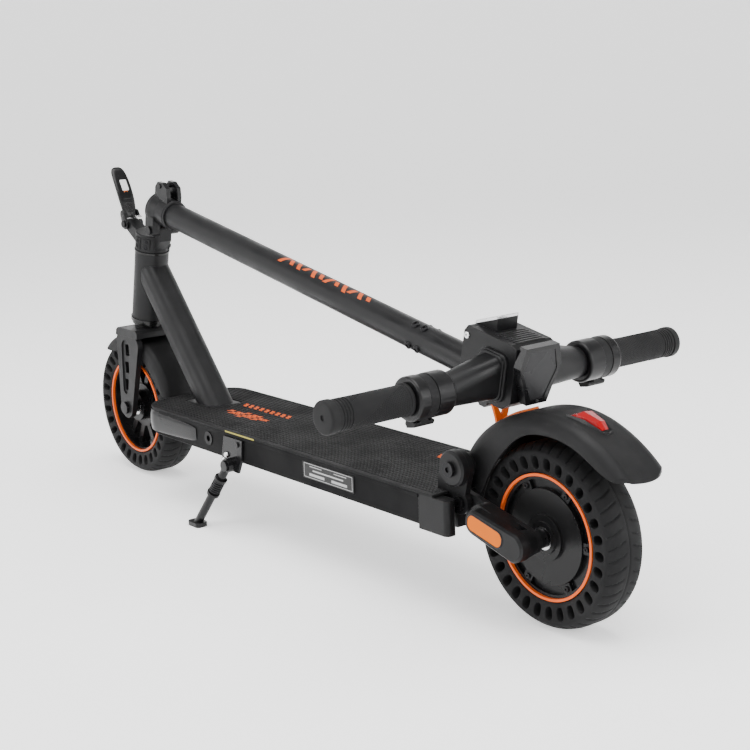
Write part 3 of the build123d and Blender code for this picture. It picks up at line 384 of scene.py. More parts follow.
def deck_print(tree, under):
    """Slanted orange bars near the front and the back of the mat."""
    place = tree.add("ShaderNodeTexCoord").outputs["Object"]
    parts = tree.add("ShaderNodeSeparateXYZ", {0: place}).outputs
    bars = []
    for index, half in enumerate((4, 7, 9, 11, 9, 7, 4)):
        bars.append((rear_x(528 + 13 * index), 0.012 + 0.003 * (index % 2), 4.2 * MM, half * MM, 0.8))
    for index in range(9):
        bars.append((rear_x(519 + 12.5 * index), -0.020, 3.6 * MM, 5.5 * MM, -0.6))
    for index in range(6):
        bars.append((rear_x(170 + 12 * index), -0.036, 3.4 * MM, 7.5 * MM, -0.5))
    ink = bpy.context.scene.scooter_colours.orange
    return printed(tree, under, tuple(value * 0.85 for value in ink), parts["X"], parts["Y"], bars)


def stem_print(tree, under):
    """A run of slanted orange bars along the upper left of the stem."""
    place = tree.add("ShaderNodeTexCoord").outputs["Object"]
    moved = tree.add(
        "ShaderNodeVectorMath", {0: place, 1: tuple(STEM_PIVOT)}, operation="SUBTRACT"
    ).outputs[0]
    turned = tree.add(
        "ShaderNodeVectorRotate", {"Vector": moved, "Angle": STEM_SLOPE}, rotation_type="Y_AXIS"
    ).outputs[0]
    parts = tree.add("ShaderNodeSeparateXYZ", {0: turned}).outputs
    along = tree.math("MULTIPLY", parts["X"], -1.0)
    height = tree.math("SUBTRACT", parts["Z"], STEM_HEIGHT * MM)
    angle = tree.math("MULTIPLY", tree.math("ARCTAN2", parts["Y"], height), STEM_RADIUS * MM)
    bars = []
    for index in range(12):
        half = (7.5, 5.0, 6.5, 4.0)[index % 4]
        bars.append(((300 + 15.5 * index) * MM, 3.5 * MM, 3.6 * MM, half * MM, 0.75 if index % 3 else -0.5))
    ink = bpy.context.scene.scooter_colours.orange
    return printed(tree, under, tuple(value * 0.8 for value in ink), along, angle, bars)


def plate_print(tree, under):
    """A pale frame with blank boxes and rows, like a label with nothing written on it."""
    place = tree.add("ShaderNodeTexCoord").outputs["Object"]
    parts = tree.add("ShaderNodeSeparateXYZ", {0: place}).outputs
    low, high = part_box("rating_plate")
    centre_x, centre_z = (low.x + high.x) / 2, (low.z + high.z) / 2
    half_x, half_z = (high.x - low.x) / 2, (high.z - low.z) / 2
    bars = []
    for side in (-1, 1):
        bars.append((centre_x, centre_z + side * (half_z - 1.6 * MM), half_x - 3 * MM, 0.35 * MM, 0.0))
        bars.append((centre_x + side * (half_x - 3 * MM), centre_z, 0.35 * MM, half_z - 1.6 * MM, 0.0))
        bars.append((centre_x + side * 22 * MM, centre_z - 4.5 * MM, 15 * MM, 1.6 * MM, 0.0))
        bars.append((centre_x + side * 24 * MM, centre_z + 5.5 * MM, 12 * MM, 0.5 * MM, 0.0))
    bars.append((centre_x, centre_z + 1.0 * MM, 30 * MM, 0.9 * MM, 0.0))
    return printed(tree, under, (0.35, 0.35, 0.35), parts["X"], parts["Z"], bars)


# --- Materials ------------------------------------------------------------------------------------
def finishes():
    """Every material slot's finish."""
    colours = bpy.context.scene.scooter_colours
    paint, black, rubber = tuple(colours.paint), tuple(colours.black), tuple(colours.rubber)
    orange, reflector, red = tuple(colours.orange), tuple(colours.reflector), tuple(colours.red)
    steel = (0.55, 0.55, 0.56)
    return {
        "deck_paint": Finish(
            tuple(value * 0.6 for value in paint), 0.6, specular=0.08, scale=1400, bump=0.25, wear=0.12
        ),
        "frame_paint": Finish(paint, 0.42, scale=1500, bump=0.22, wear=0.10),
        "stem_paint": Finish(paint, 0.40, scale=1500, bump=0.22, wear=0.10, print_on=stem_print),
        "deck_rubber": Finish(rubber, 0.72, scale=1100, bump=0.3, wear=0.08, print_on=deck_print),
        "black_plastic": Finish(black, 0.52, scale=1300, bump=0.3, wear=0.06),
        "satin_plastic": Finish(black, 0.38, scale=1200, bump=0.18, wear=0.06),
        "grey_plastic": Finish((0.025, 0.025, 0.026), 0.5, scale=1200, bump=0.2, wear=0.05),
        "gloss_plastic_black": Finish(black, 0.28, scale=900, bump=0.05, wear=0.05, coat=0.1),
        "battery_wrap": Finish((0.05, 0.07, 0.16), 0.4, wear=0.0),
        "plate_film": Finish(
            (0.012, 0.012, 0.012), 0.3, bump=0.03, wear=0.0, dust=0.03, print_on=plate_print
        ),
        "gloss_black": Finish((0.005, 0.005, 0.005), 0.2, bump=0.03, wear=0.05, coat=0.2),
        "gloss_metal": Finish((0.005, 0.005, 0.0055), 0.26, bump=0.05, wear=0.1, coat=0.12),
        "bearing_steel": Finish(steel, 0.25, metallic=1.0, bump=0.04, wear=0.0, dust=0.02),
        "bolt_steel": Finish((0.012, 0.012, 0.013), 0.3, metallic=0.6, bump=0.05, wear=0.3, edge=0.3,
                             wear_colour=(0.10, 0.10, 0.10)),
        "latch_chrome": Finish((0.75, 0.75, 0.75), 0.16, metallic=1.0, bump=0.02, wear=0.0, dust=0.02),
        "rim_alloy": Finish(black, 0.32, scale=1000, bump=0.1, wear=0.10),
        "motor_cover_paint": Finish((0.0045, 0.0045, 0.0048), 0.3, scale=1300, bump=0.08, wear=0.08),
        "tyre_rubber": Finish(rubber, 0.72, scale=700, bump=0.35, wear=0.2, dust=0.05, edge=0.5,
                              wear_colour=(0.03, 0.03, 0.03)),
        "grip_rubber": Finish(rubber, 0.66, scale=1200, bump=0.2, wear=0.15, edge=0.3,
                              wear_colour=(0.03, 0.03, 0.03)),
        "ring_orange": Finish(orange, 0.35, bump=0.05, wear=0.0, dust=0.04),
        "strap_orange": Finish((0.72, 0.13, 0.008), 0.38, bump=0.06, wear=0.05, dust=0.04),
        "reflector_orange": Finish(reflector, 0.42, bump=0.02, wear=0.0, dust=0.0, specular=0.1),
        "tail_red": Finish(red, 0.18, bump=0.02, wear=0.0, dust=0.0, coat=0.2),
        "lamp_glass": Finish((0.10, 0.105, 0.11), 0.12, bump=0.02, wear=0.0, dust=0.0, coat=0.2),
        "display_glass": Finish((0.022, 0.022, 0.023), 0.3, bump=0.01, wear=0.0, dust=0.0, specular=0.15),
        "spring_steel": Finish((0.03, 0.03, 0.032), 0.28, metallic=0.8, bump=0.05, wear=0.0),
        "sticker_white": Finish((0.62, 0.62, 0.61), 0.4, bump=0.03, wear=0.0, dust=0.03),
        "strip_yellow": Finish((0.30, 0.26, 0.05), 0.4, bump=0.03, wear=0.0, dust=0.03),
        "lamp_silver": Finish((0.62, 0.62, 0.63), 0.22, metallic=1.0, bump=0.02, wear=0.0, dust=0.02),
        "stator_copper": Finish((0.42, 0.19, 0.10), 0.45, metallic=0.8, bump=0.2, wear=0.0),
    }


MATERIALS = {}


def paint_frame():
    """Builds every material and puts it on the frame's own nodes."""
    for slot, finish in finishes().items():
        MATERIALS[slot] = build_material(slot, finish)
    slots = {entry["node"]: entry["material_slot"] for entry in frame["record"]["subparts"]}
    for name, node in frame["nodes"].items():
        node.data.materials.clear()
        node.data.materials.append(MATERIALS[slots[name]])


# --- Mesh helpers ---------------------------------------------------------------------------------
NEAREST_SLOT = {"lamp_silver": "latch_chrome", "sticker_white": "plate_film", "strip_yellow": "plate_film"}


def new_piece(name, form, slot, body, replaced=(), sharp=40.0):
    """A mesh piece in the frame's coordinates, with its material, riding on a body."""
    mesh = bpy.data.meshes.new(name)
    mesh.from_pydata([tuple(point) for point in form.points], [], form.faces)
    shape = bmesh.new()
    shape.from_mesh(mesh)
    bmesh.ops.remove_doubles(shape, verts=shape.verts, dist=0.002 * MM)
    bmesh.ops.recalc_face_normals(shape, faces=shape.faces)
    for face in shape.faces:
        face.smooth = True
    for edge in shape.edges:
        edge.smooth = len(edge.link_faces) < 2 or edge.calc_face_angle(0.0) < radians(sharp)
    shape.to_mesh(mesh)
    shape.free()
    piece = bpy.data.objects.new(name, mesh)
    bpy.context.scene.collection.objects.link(piece)
    mesh.materials.append(MATERIALS[slot])
    NEAREST_SLOT.get(slot, slot)
    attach(piece, body)
    if replaced:
        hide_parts(*replaced)
    return piece


class Shape:
    """Points and faces of a mesh that is put together from simple surfaces."""

    def __init__(self):
        self.points = []
        self.faces = []

    def grid(self, rows, closed_rows=False, closed_columns=False):
        """A surface through rows of points that all have the same number of points."""
        start, wide, tall = len(self.points), len(rows[0]), len(rows)
        for row in rows:
            self.points.extend(row)
        for i in range(tall if closed_rows else tall - 1):
            for j in range(wide if closed_columns else wide - 1):
                a, b = i % tall, (i + 1) % tall
                c, d = j % wide, (j + 1) % wide
                corners = (a * wide + c, a * wide + d, b * wide + d, b * wide + c)
                self.faces.append([start + corner for corner in corners])
        return start

    def cap(self, ring):
        """A flat face over a ring of points."""
        start = len(self.points)
        self.points.extend(ring)
        self.faces.append(list(range(start, start + len(ring))))

    def prism(self, outline, place, low, high, bevel):
        """A plate with bevelled edges from (a, b) pairs, put in the frame by place(a, b, height)."""
        middle_a = sum(a for a, b in outline) / len(outline)
        middle_b = sum(b for a, b in outline) / len(outline)
        reach = min(max(abs(a - middle_a) for a, b in outline), max(abs(b - middle_b) for a, b in outline))
        rows = []
        for height, inset in (
            (low, 0.0), (high - bevel, 0.0), (high - 0.5 * bevel, 0.16 * bevel),
            (high - 0.16 * bevel, 0.5 * bevel), (high, bevel),
        ):
            shrink = 1.0 - inset / reach
            row = []
            for a, b in outline:
                nearer_a, nearer_b = middle_a + (a - middle_a) * shrink, middle_b + (b - middle_b) * shrink
                row.append(place(nearer_a, nearer_b, height))
            rows.append(row)
        self.grid(rows, closed_columns=True)
        self.cap(rows[0])
        self.cap(rows[-1])

    def turned(self, profile, origin, axis, steps):
        """A surface turned about an axis from (along, radius) pairs in millimetres."""
        rows = lathe([(along * MM, radius * MM) for along, radius in profile], origin, axis, steps)
        self.grid(rows, closed_columns=True)


def rounded_box(centre_a, centre_b, half_a, half_b, corner, steps=6):
    """The outline of a rectangle with rounded corners, as (a, b) pairs."""
    points = []
    for quarter, (side_a, side_b) in enumerate(((1, 1), (-1, 1), (-1, -1), (1, -1))):
        for step in range(steps + 1):
            turn = radians(90 * quarter + 90 * step / steps)
            a = centre_a + side_a * (half_a - corner) + corner * cos(turn)
            b = centre_b + side_b * (half_b - corner) + corner * sin(turn)
            points.append((a, b))
    return points


def bar_place(along, side, height):
    """A point at distances in millimetres along the stem, to the left and square to the stem."""
    return BAR_AXIS + (STEM_BACK * along + STEM_UP * height + LEFT * side) * MM


def lathe(profile, origin, axis, steps):
    """Rows of points from turning (along, radius) pairs about an axis."""
    axis = Vector(axis).normalized()
    side = axis.orthogonal().normalized()
    up = axis.cross(side)
    rows = []
    for along, radius in profile:
        turn = [tau * step / steps for step in range(steps)]
        rows.append([origin + axis * along + (side * cos(t) + up * sin(t)) * radius for t in turn])
    return rows


# --- Tyres ----------------------------------------------------------------------------------------
TYRE_SIDE = (
    (68.5, 19.5), (69.5, 21.6), (71.0, 23.0), (75.0, 24.6), (80.0, 25.6), (86.0, 26.3), (91.0, 26.3),
)
TREAD_CROWN = (
    (92.4, 25.7), (93.6, 24.7), (95.0, 23.2), (96.4, 21.4), (97.5, 19.4), (98.4, 17.4), (99.1, 15.2),
    (99.6, 12.8), (99.9, 10.6), (100.0, 8.4), (100.0, 6.4), (100.0, 4.6), (100.0, 3.0), (100.0, 1.4),
    (100.0, 0.0),
)
SECTOR_STEPS = 16
SECTOR_SIDE_STEPS = 6


def side_bulge(radius):
    """How far the tyre's side stands out at a radius, both in millimetres."""
    for (r0, y0), (r1, y1) in zip(TYRE_SIDE, TYRE_SIDE[1:]):
        if radius <= r1:
            return y0 + (y1 - y0) * (radius - r0) / (r1 - r0)
    return TYRE_SIDE[-1][1]


def sector_outline(half_turn, low, high):
    """The outline of one hole's share of the tyre's side, as (angle, radius), anticlockwise."""
    points = []
    for step in range(SECTOR_STEPS):
        points.append((-half_turn + 2 * half_turn * step / SECTOR_STEPS, low))
    for step in range(SECTOR_SIDE_STEPS):
        points.append((half_turn, low + (high - low) * step / SECTOR_SIDE_STEPS))
    for step in range(SECTOR_STEPS):
        points.append((half_turn - 2 * half_turn * step / SECTOR_STEPS, high))
    for step in range(SECTOR_SIDE_STEPS):
        points.append((-half_turn, high - (high - low) * step / SECTOR_SIDE_STEPS))
    return points


def hole_point(angle, radius, centre, half_length, half_width, grow):
    """The point on an oval hole's rim that faces (angle, radius), as (angle, radius)."""
    across, along = angle * centre, radius - centre
    turn = atan2(along / (half_length + 2), across / (half_width + 1))
    power = 0.8
    x = (half_width + grow) * abs(cos(turn)) ** power * (1 if cos(turn) >= 0 else -1)
    y = (half_length + grow) * abs(sin(turn)) ** power * (1 if sin(turn) >= 0 else -1)
    return x / centre, centre + y


def groove_depth(turn, across, sizes):
    """Depth of the swept tread grooves at a turn and a place across the tread, in millimetres."""
    depth = 0.0
    reach = abs(across)
    pitch = tau / sizes.grooves
    offset = 0.5 * pitch if across < 0 else 0.0
    if 4.0 < reach < 24.5:
        sweep = 0.115 * (reach / 24.0) ** 0.7
        phase = ((turn + offset - sweep) / pitch) % 1.0
        width = sizes.groove_width / MM / (100.0 * pitch) * (0.55 + 0.45 * reach / 24.0)
        inside = 1.0 - abs(phase - 0.5) / (width / 2)
        ends = min(1.0, (reach - 4.0) / 2.0, (24.5 - reach) / 1.2)
        depth = max(0.0, min(1.0, inside * 1.8)) * ends
    if reach < 1.5:
        depth = max(depth, 0.5 * (1.0 - reach / 1.5))
    return depth * sizes.groove_depth / MM


def build_tyre(name, centre, body, node):
    """One solid tyre with swept tread grooves and a ring of oval holes through its sides."""
    sizes = bpy.context.scene.scooter_tyres
    shape = Shape()
    half_turn = pi / sizes.holes

    def place(turn, radius, across):
        """A point at a turn about the axle, with lengths in millimetres."""
        return centre + Vector((radius * cos(turn), across, radius * sin(turn))) * MM

    low, high = 71.0, 91.0
    half_length, half_width = sizes.hole_length / MM / 2, sizes.hole_width / MM / 2
    outline = sector_outline(half_turn, low, high)
    for sector in range(sizes.holes):
        base = 2 * half_turn * sector
        for side in (-1, 1):
            loops = [[place(base + a, r, side * side_bulge(r)) for a, r in outline]]
            for grow, sink in ((2.2, 0.0), (0.9, 0.0), (0.3, 0.25), (0.0, 0.9)):
                rim = [hole_point(a, r, 81.0, half_length, half_width, grow) for a, r in outline]
                blend = [(a, r, side * (side_bulge(r) - sink)) for a, r in rim]
                loops.append([place(base + a, r, y) for a, r, y in blend])
            inner = [hole_point(a, r, 81.0, half_length - 0.6, half_width - 0.5, 0.0) for a, r in outline]
            loops.append([place(base + a, r, side * 12.0) for a, r in inner])
            loops.append([place(base + a, r, 0.0) for a, r in inner])
            shape.grid(loops, closed_columns=True)

    steps = SECTOR_STEPS * sizes.holes
    turns = [2 * half_turn * step / SECTOR_STEPS - half_turn for step in range(steps)]
    crown = [(91.0, 26.3)] + list(TREAD_CROWN)
    profile = [(r, -y) for r, y in crown] + [(r, y) for r, y in reversed(crown[:-1])]
    rows = []
    for radius, across in profile:
        row = []
        for turn in turns:
            row.append(place(turn, radius - groove_depth(turn, across, sizes), across))
        rows.append(row)
    shape.grid(rows, closed_columns=True)
    bead = [(71.0, -23.0), (69.5, -21.6), (68.6, -19.5), (68.6, 19.5), (69.5, 21.6), (71.0, 23.0)]
    shape.grid([[place(turn, r, y) for turn in turns] for r, y in bead], closed_columns=True)
    return new_piece(name, shape, "tyre_rubber", body, [node], sharp=38.0)


# --- Deck mat -------------------------------------------------------------------------------------
def mat_reach(y):
    """Where the mat starts and ends along X at a place across it."""
    low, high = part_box("deck_mat")
    half, corner = high.y, 38 * MM
    start = low.x
    if 44 * MM < abs(y) < 52.6 * MM:
        start = low.x + 19 * MM
    end = high.x
    over = abs(y) - (half - corner)
    if over > 0:
        end = high.x - corner + sqrt(max(0.0, corner * corner - over * over))
    return start, end


def build_mat():
    """The rubber mat with fine ribs along the deck, open round the foot of the down tube."""
    sizes = bpy.context.scene.scooter_deck
    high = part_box("deck_mat")[1]
    half, pitch = high.y, sizes.rib_pitch
    inner = half - sizes.border
    ribs = int(2 * inner / pitch)
    pitch = 2 * inner / ribs
    lines = [(-half, -2.6 * MM), (-half, -0.5 * MM), (-half + 0.5 * MM, 0.0), (-inner, 0.0)]
    for rib in range(ribs):
        left = -inner + rib * pitch
        lines += [
            (left + 0.10 * pitch, -0.15 * MM), (left + 0.22 * pitch, -sizes.rib_depth),
            (left + 0.42 * pitch, -sizes.rib_depth), (left + 0.54 * pitch, -0.15 * MM),
            (left + 0.64 * pitch, 0.0), (left + pitch, 0.0),
        ]
    lines += [(inner, 0.0), (half - 0.5 * MM, 0.0), (half, -0.5 * MM), (half, -2.6 * MM)]
    foot_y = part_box("down_tube")[1].y + 2 * MM
    hole = (rear_x(671 - 34), rear_x(671 + 34))
    shape = Shape()

    def strip(rows_y, from_x, to_x):
        """A run of the mat between two ends, with a rounded lip at each end."""
        rows = []
        for y, drop in rows_y:
            start, end = mat_reach(y)
            start, end = max(start, from_x), min(end, to_x)
            lip = high.z - 0.5 * MM + min(0, drop)
            row = [Vector((start, y, high.z - 2.6 * MM)), Vector((start, y, lip))]
            margin = min(sizes.border, (end - start) / 4)
            for x, ease in ((start + 0.5 * MM, 0), (start + margin, 0), (start + margin * 1.4, 1)):
                row.append(Vector((x, y, high.z + (drop if ease or abs(y) > inner else 0.0))))
            for x, ease in ((end - margin * 1.4, 1), (end - margin, 0), (end - 0.5 * MM, 0)):
                row.append(Vector((x, y, high.z + (drop if ease or abs(y) > inner else 0.0))))
            row += [Vector((end, y, lip)), Vector((end, y, high.z - 2.6 * MM))]
            rows.append(row)
        shape.grid(rows)

    outer_left = [line for line in lines if line[0] <= -foot_y]
    centre = [line for line in lines if -foot_y <= line[0] <= foot_y]
    outer_right = [line for line in lines if line[0] >= foot_y]
    outer_left.append((-foot_y, -0.15 * MM))
    outer_right.insert(0, (foot_y, -0.15 * MM))
    centre = [(-foot_y, -0.15 * MM)] + centre + [(foot_y, -0.15 * MM)]
    strip(outer_left, -9, 9)
    strip(outer_right, -9, 9)
    strip(centre, -9, hole[0])
    strip(centre, hole[1], 9)
    return new_piece("mat", shape, "deck_rubber", "frame", ["deck_mat"], sharp=25.0)


# --- Grips ----------------------------------------------------------------------------------------
def honeycomb(u, v, cell):
    """0 inside a six-sided cell and 1 on the walls between cells."""
    row_height = cell * sqrt(3) / 2
    best, second = 9.0, 9.0
    row = int(v // row_height)
    for r in (row - 1, row, row + 1, row + 2):
        shift = 0.5 * cell if r % 2 else 0.0
        column = round((u - shift) / cell)
        for c in (column - 1, column, column + 1):
            distance = hypot(u - shift - c * cell, v - r * row_height)
            if distance < best:
                best, second = distance, best
            elif distance < second:
                second = distance
    wall = (second - best) / cell
    return 1.0 - min(1.0, wall / 0.42)


def build_grip(name, node, side):
    """A rubber grip with honeycomb panels, a smooth swirl between them and end rings."""
    sizes = bpy.context.scene.scooter_grips
    low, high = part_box(node)
    centre = (low + high) / 2
    inner = low.y if side > 0 else -high.y
    outer = high.y if side > 0 else -low.y
    radius = 16.5 * MM
    steps, pieces = 200, 190
    first, last = inner + 5 * MM, outer - 27 * MM
    cells_round = round(tau * radius / sizes.cell)
    cell = tau * radius / cells_round
    rows = []
    ends = [(inner, 12.0), (inner, 16.8), (inner + 0.6 * MM, 17.4), (inner + 4.2 * MM, 17.4)]
    ends.append((inner + 5 * MM, 16.7))
    for along, r in ends:
        rows.append((along, [r * MM] * steps))
    for piece in range(pieces + 1):
        along = first + (last - first) * piece / pieces
        share = piece / pieces
        ring = []
        for step in range(steps):
            turn = tau * step / steps
            edge = min(1.0, share / 0.05, (1 - share) / 0.03)
            swirl = cos(turn - 2.2 * share * side - 0.9)
            smooth = max(0.0, min(1.0, (swirl - 0.72) * 16))
            raised = 0.35 * MM * max(0.0, 1.0 - abs(swirl - 0.74) * 22)
            pattern = honeycomb(turn * radius, along, cell) - 1.0
            ring.append(radius + (1 - smooth) * max(0, edge) * pattern * sizes.cell_depth + raised)
        rows.append((along, ring))
    along = last
    for _ in range(4):
        for r, step_along in ((16.5, 0.4), (15.6, 0.5), (15.6, 1.2), (16.5, 0.4), (16.6, 1.1)):
            along += step_along * MM
            rows.append((along, [r * MM] * steps))
    for along, r in (
        (outer - 10 * MM, 16.2), (outer - 9.4 * MM, 17.5), (outer - 2.6 * MM, 17.5),
        (outer - 1.4 * MM, 17.1),
        (outer - 0.5 * MM, 16.2), (outer - 0.1 * MM, 14.8), (outer - 0.1 * MM, 3.2), (outer - 1.6 * MM, 2.6),
        (outer - 1.6 * MM, 0.01),
    ):
        rows.append((along, [r * MM] * steps))
    shape = Shape()
    grid = []
    for along, ring in rows:
        row = []
        for step, r in enumerate(ring):
            turn = tau * step / steps
            row.append(Vector((centre.x + r * cos(turn), side * along, centre.z + r * sin(turn))))
        grid.append(row)
    shape.grid(grid, closed_columns=True)
    return new_piece(name, shape, "grip_rubber", "stem", [node], sharp=50.0)


# --- Side stand's spring --------------------------------------------------------------------------
def build_spring():
    """The coil spring round the side stand's leg."""
    sizes = bpy.context.scene.scooter_spring
    axis = (STAND_FOOT - STAND_PIVOT).normalized()
    side = axis.orthogonal().normalized()
    up = axis.cross(side)
    coil, wire = 7.0 * MM, sizes.wire
    start, end = 27 * MM, 47 * MM
    steps = sizes.coils * 28
    line = []
    for step in range(steps + 1):
        share = step / steps
        turn = tau * sizes.coils * share
        along = start + (end - start) * share
        line.append(STAND_PIVOT + axis * along + (side * cos(turn) + up * sin(turn)) * coil)
    rows = []
    for index, point in enumerate(line):
        ahead = (line[min(index + 1, steps)] - line[max(index - 1, 0)]).normalized()
        arm = point - STAND_PIVOT
        outward = (arm - axis * arm.dot(axis)).normalized()
        across = ahead.cross(outward)
        ring = [tau * k / 10 for k in range(10)]
        rows.append([point + (outward * cos(t) + across * sin(t)) * wire for t in ring])
    shape = Shape()
    shape.grid(rows, closed_columns=True)
    shape.cap(rows[0])
    shape.cap(rows[-1])
    return new_piece("stand_coil", shape, "spring_steel", "stand", ["stand_spring"])


# --- Screws ---------------------------------------------------------------------------------------
def add_screw(shape, place, axis, radius, height, socket=0.45):
    """A round screw head with a six-sided socket, standing on a face at place and looking along axis."""
    axis = Vector(axis).normalized()
    steps = 24
    profile = [(-0.2 * height, radius), (0.7 * height, radius), (0.92 * height, 0.93 * radius)]
    profile += [(height, 0.8 * radius), (height, (socket + 0.1) * radius)]
    rows = lathe(profile, place, axis, steps)
    side = axis.orthogonal().normalized()
    up = axis.cross(side)
    for along in (height, 0.35 * height):
        row = []
        for step in range(steps):
            turn = tau * step / steps
            flat = cos(pi / 6) / cos((turn % (pi / 3)) - pi / 6)
            row.append(place + axis * along + (side * cos(turn) + up * sin(turn)) * socket * radius * flat)
        rows.append(row)
    shape.grid(rows, closed_columns=True)
    shape.cap(rows[-1])
    shape.cap(rows[0])


def build_motor_screws():
    """The screws on the hub motor's lugs."""
    shape = Shape()
    for side in (-1, 1):
        for lug in range(6):
            turn = tau * lug / 6
            place = REAR_AXLE + Vector((57.5 * cos(turn), side * 18.4, 57.5 * sin(turn))) * MM
            add_screw(shape, place, (0, side, 0), 3.2 * MM, 1.8 * MM)
    return new_piece("motor_screws", shape, "bolt_steel", "rear_wheel")


# --- Fold lever -----------------------------------------------------------------------------------
LEVER_SECTIONS = (
    (8.0, 0.6, 4.4, 9.0), (14.0, 0.2, 4.5, 9.6), (22.0, -0.4, 4.2, 10.8), (32.0, -0.8, 3.8, 11.9),
    (42.0, -0.6, 3.5, 12.4), (54.0, 0.3, 3.3, 12.5), (66.0, 2.0, 3.1, 12.2), (74.0, 3.5, 2.9, 11.6),
    (80.0, 4.7, 2.7, 10.4), (84.0, 5.4, 2.3, 8.4), (86.4, 5.8, 1.5, 5.4), (87.0, 5.9, 0.5, 2.0),
)


def lever_place(back, side, along):
    """A point on the open lever, in millimetres behind its middle, to the left and along it."""
    front = Vector((cos(LEVER_LEAN), 0.0, -sin(LEVER_LEAN)))
    up = Vector((sin(LEVER_LEAN), 0.0, cos(LEVER_LEAN)))
    return LEVER_PIVOT + (front * -back + up * along + LEFT * side) * MM


def build_lever():
    """The curved fold lever with its hinge cheeks, a plain pale sticker and a ringed boss."""
    shape = Shape()
    rows = []
    for along, front, thick, wide in LEVER_SECTIONS:
        row = []
        for step in range(32):
            turn = tau * step / 32
            x = thick * abs(cos(turn)) ** 0.7 * (1 if cos(turn) > 0 else -1)
            y = wide * abs(sin(turn)) ** 0.6 * (1 if sin(turn) > 0 else -1)
            dish = 0.9 * (y / 12.5) ** 2
            row.append(lever_place(-front + x + dish, y, along))
        rows.append(row)
    shape.grid(rows, closed_columns=True)
    shape.cap(rows[0])
    shape.cap(rows[-1])
    for side in (-1, 1):
        outline = []
        for step in range(28):
            turn = tau * step / 28
            centre, radius = ((0.0, 7.9) if sin(turn) < 0 else (15.0, 5.6))
            outline.append((radius * cos(turn), centre + radius * sin(turn)))
        shape.prism(outline, lambda a, b, h, s=side: lever_place(-a, s * h, b), 9.7, 12.9, 0.8)
    for along, half, depth in ((30.0, 8.4, 1.4), (36.5, 6.6, 1.1)):
        outline = rounded_box(0.0, along, half, 1.1, 1.0)
        shape.prism(outline, lambda a, b, h: lever_place(h, a, b), 2.0, 3.6 + depth, 0.5)
    new_piece("lever_blade", shape, "gloss_metal", "lever", ["fold_lever"])
    boss = Shape()
    face = lever_place(4.0, 0.0, 22.0)
    direction = (lever_place(1.0, 0.0, 0.0) - lever_place(0.0, 0.0, 0.0)).normalized()
    ring = (
        (-1.5, 6.6), (1.0, 6.6), (1.5, 6.1), (1.5, 4.4), (0.7, 3.9), (0.7, 1.7), (1.3, 1.3), (1.3, 0.01),
    )
    boss.turned(ring, face, direction, 32)
    new_piece("lever_boss", boss, "gloss_plastic_black", "lever")
    sticker = Shape()
    outline = rounded_box(-1.5, 57.0, 5.2, 8.5, 1.2)
    sticker.prism(outline, lambda a, b, h: lever_place(h - (b - 54.0) * 0.145, a, b), 2.6, 3.15, 0.1)
    new_piece("lever_sticker", sticker, "sticker_white", "lever")
    dot = Shape()
    centre = lever_place(3.6, -1.0, 45.5)
    dot.turned(((-1, 3.4), (0.1, 3.4), (0.2, 2.3), (-1, 2.3)), centre, direction, 28)
    new_piece("lever_dot", dot, "strap_orange", "lever")


# --- Lenses and reflectors ------------------------------------------------------------------------
def crest_place(angle, radius, side):
    """A point above the rear axle at an angle and radius, in degrees and millimetres."""
    turn = radians(angle)
    return REAR_AXLE + Vector((radius * cos(turn), side, radius * sin(turn))) * MM


def build_tail_lens():
    """The wedge-shaped red lens on the rear fender, with a black frame behind it."""
    lens = Shape()
    front, rear = (102.6, 138.0), (118.4, 140.4)
    for side in (-1, 1):
        corners = (
            crest_place(*front, side * 12.6), crest_place(105.4, 141.6, side * 11.2),
            crest_place(114.6, 143.9, side * 6.2), crest_place(*rear, side * 4.6),
        )
        middle_line = (
            crest_place(front[0], 138.6, 0.0), crest_place(105.2, 143.0, 0.0),
            crest_place(114.8, 145.2, 0.0), crest_place(rear[0], 141.0, 0.0),
        )
        foot = (
            crest_place(102.2, 132.0, side * 13.2), crest_place(106.0, 134.0, side * 13.4),
            crest_place(115.4, 136.0, side * 8.0), crest_place(119.2, 136.0, side * 5.4),
        )
        lens.grid([middle_line, corners, foot])
    new_piece("tail_lens", lens, "tail_red", "fender", ["tail_light"], sharp=12.0)
    frame_shape = Shape()
    for side in (-1, 1):
        inner = [crest_place(102.0, 138.6, side * 13.4), crest_place(110.0, 140.8, side * 10.2),
                 crest_place(119.2, 140.9, side * 5.4), crest_place(120.4, 141.3, 0.0)]
        top = [crest_place(101.6, 138.9, side * 14.6), crest_place(110.2, 142.0, side * 11.6),
               crest_place(119.9, 142.2, side * 6.4), crest_place(121.3, 142.6, 0.0)]
        outer = [crest_place(101.2, 135.8, side * 16.0), crest_place(110.6, 137.2, side * 13.4),
                 crest_place(120.8, 138.4, side * 7.8), crest_place(122.6, 139.4, 0.0)]
        frame_shape.grid([inner, top, outer])
    new_piece("tail_frame", frame_shape, "gloss_plastic_black", "fender")


REFLECTOR_X, REFLECTOR_Z = 38.5, 109.3
REFLECTOR_SLOPE = radians(13.4)


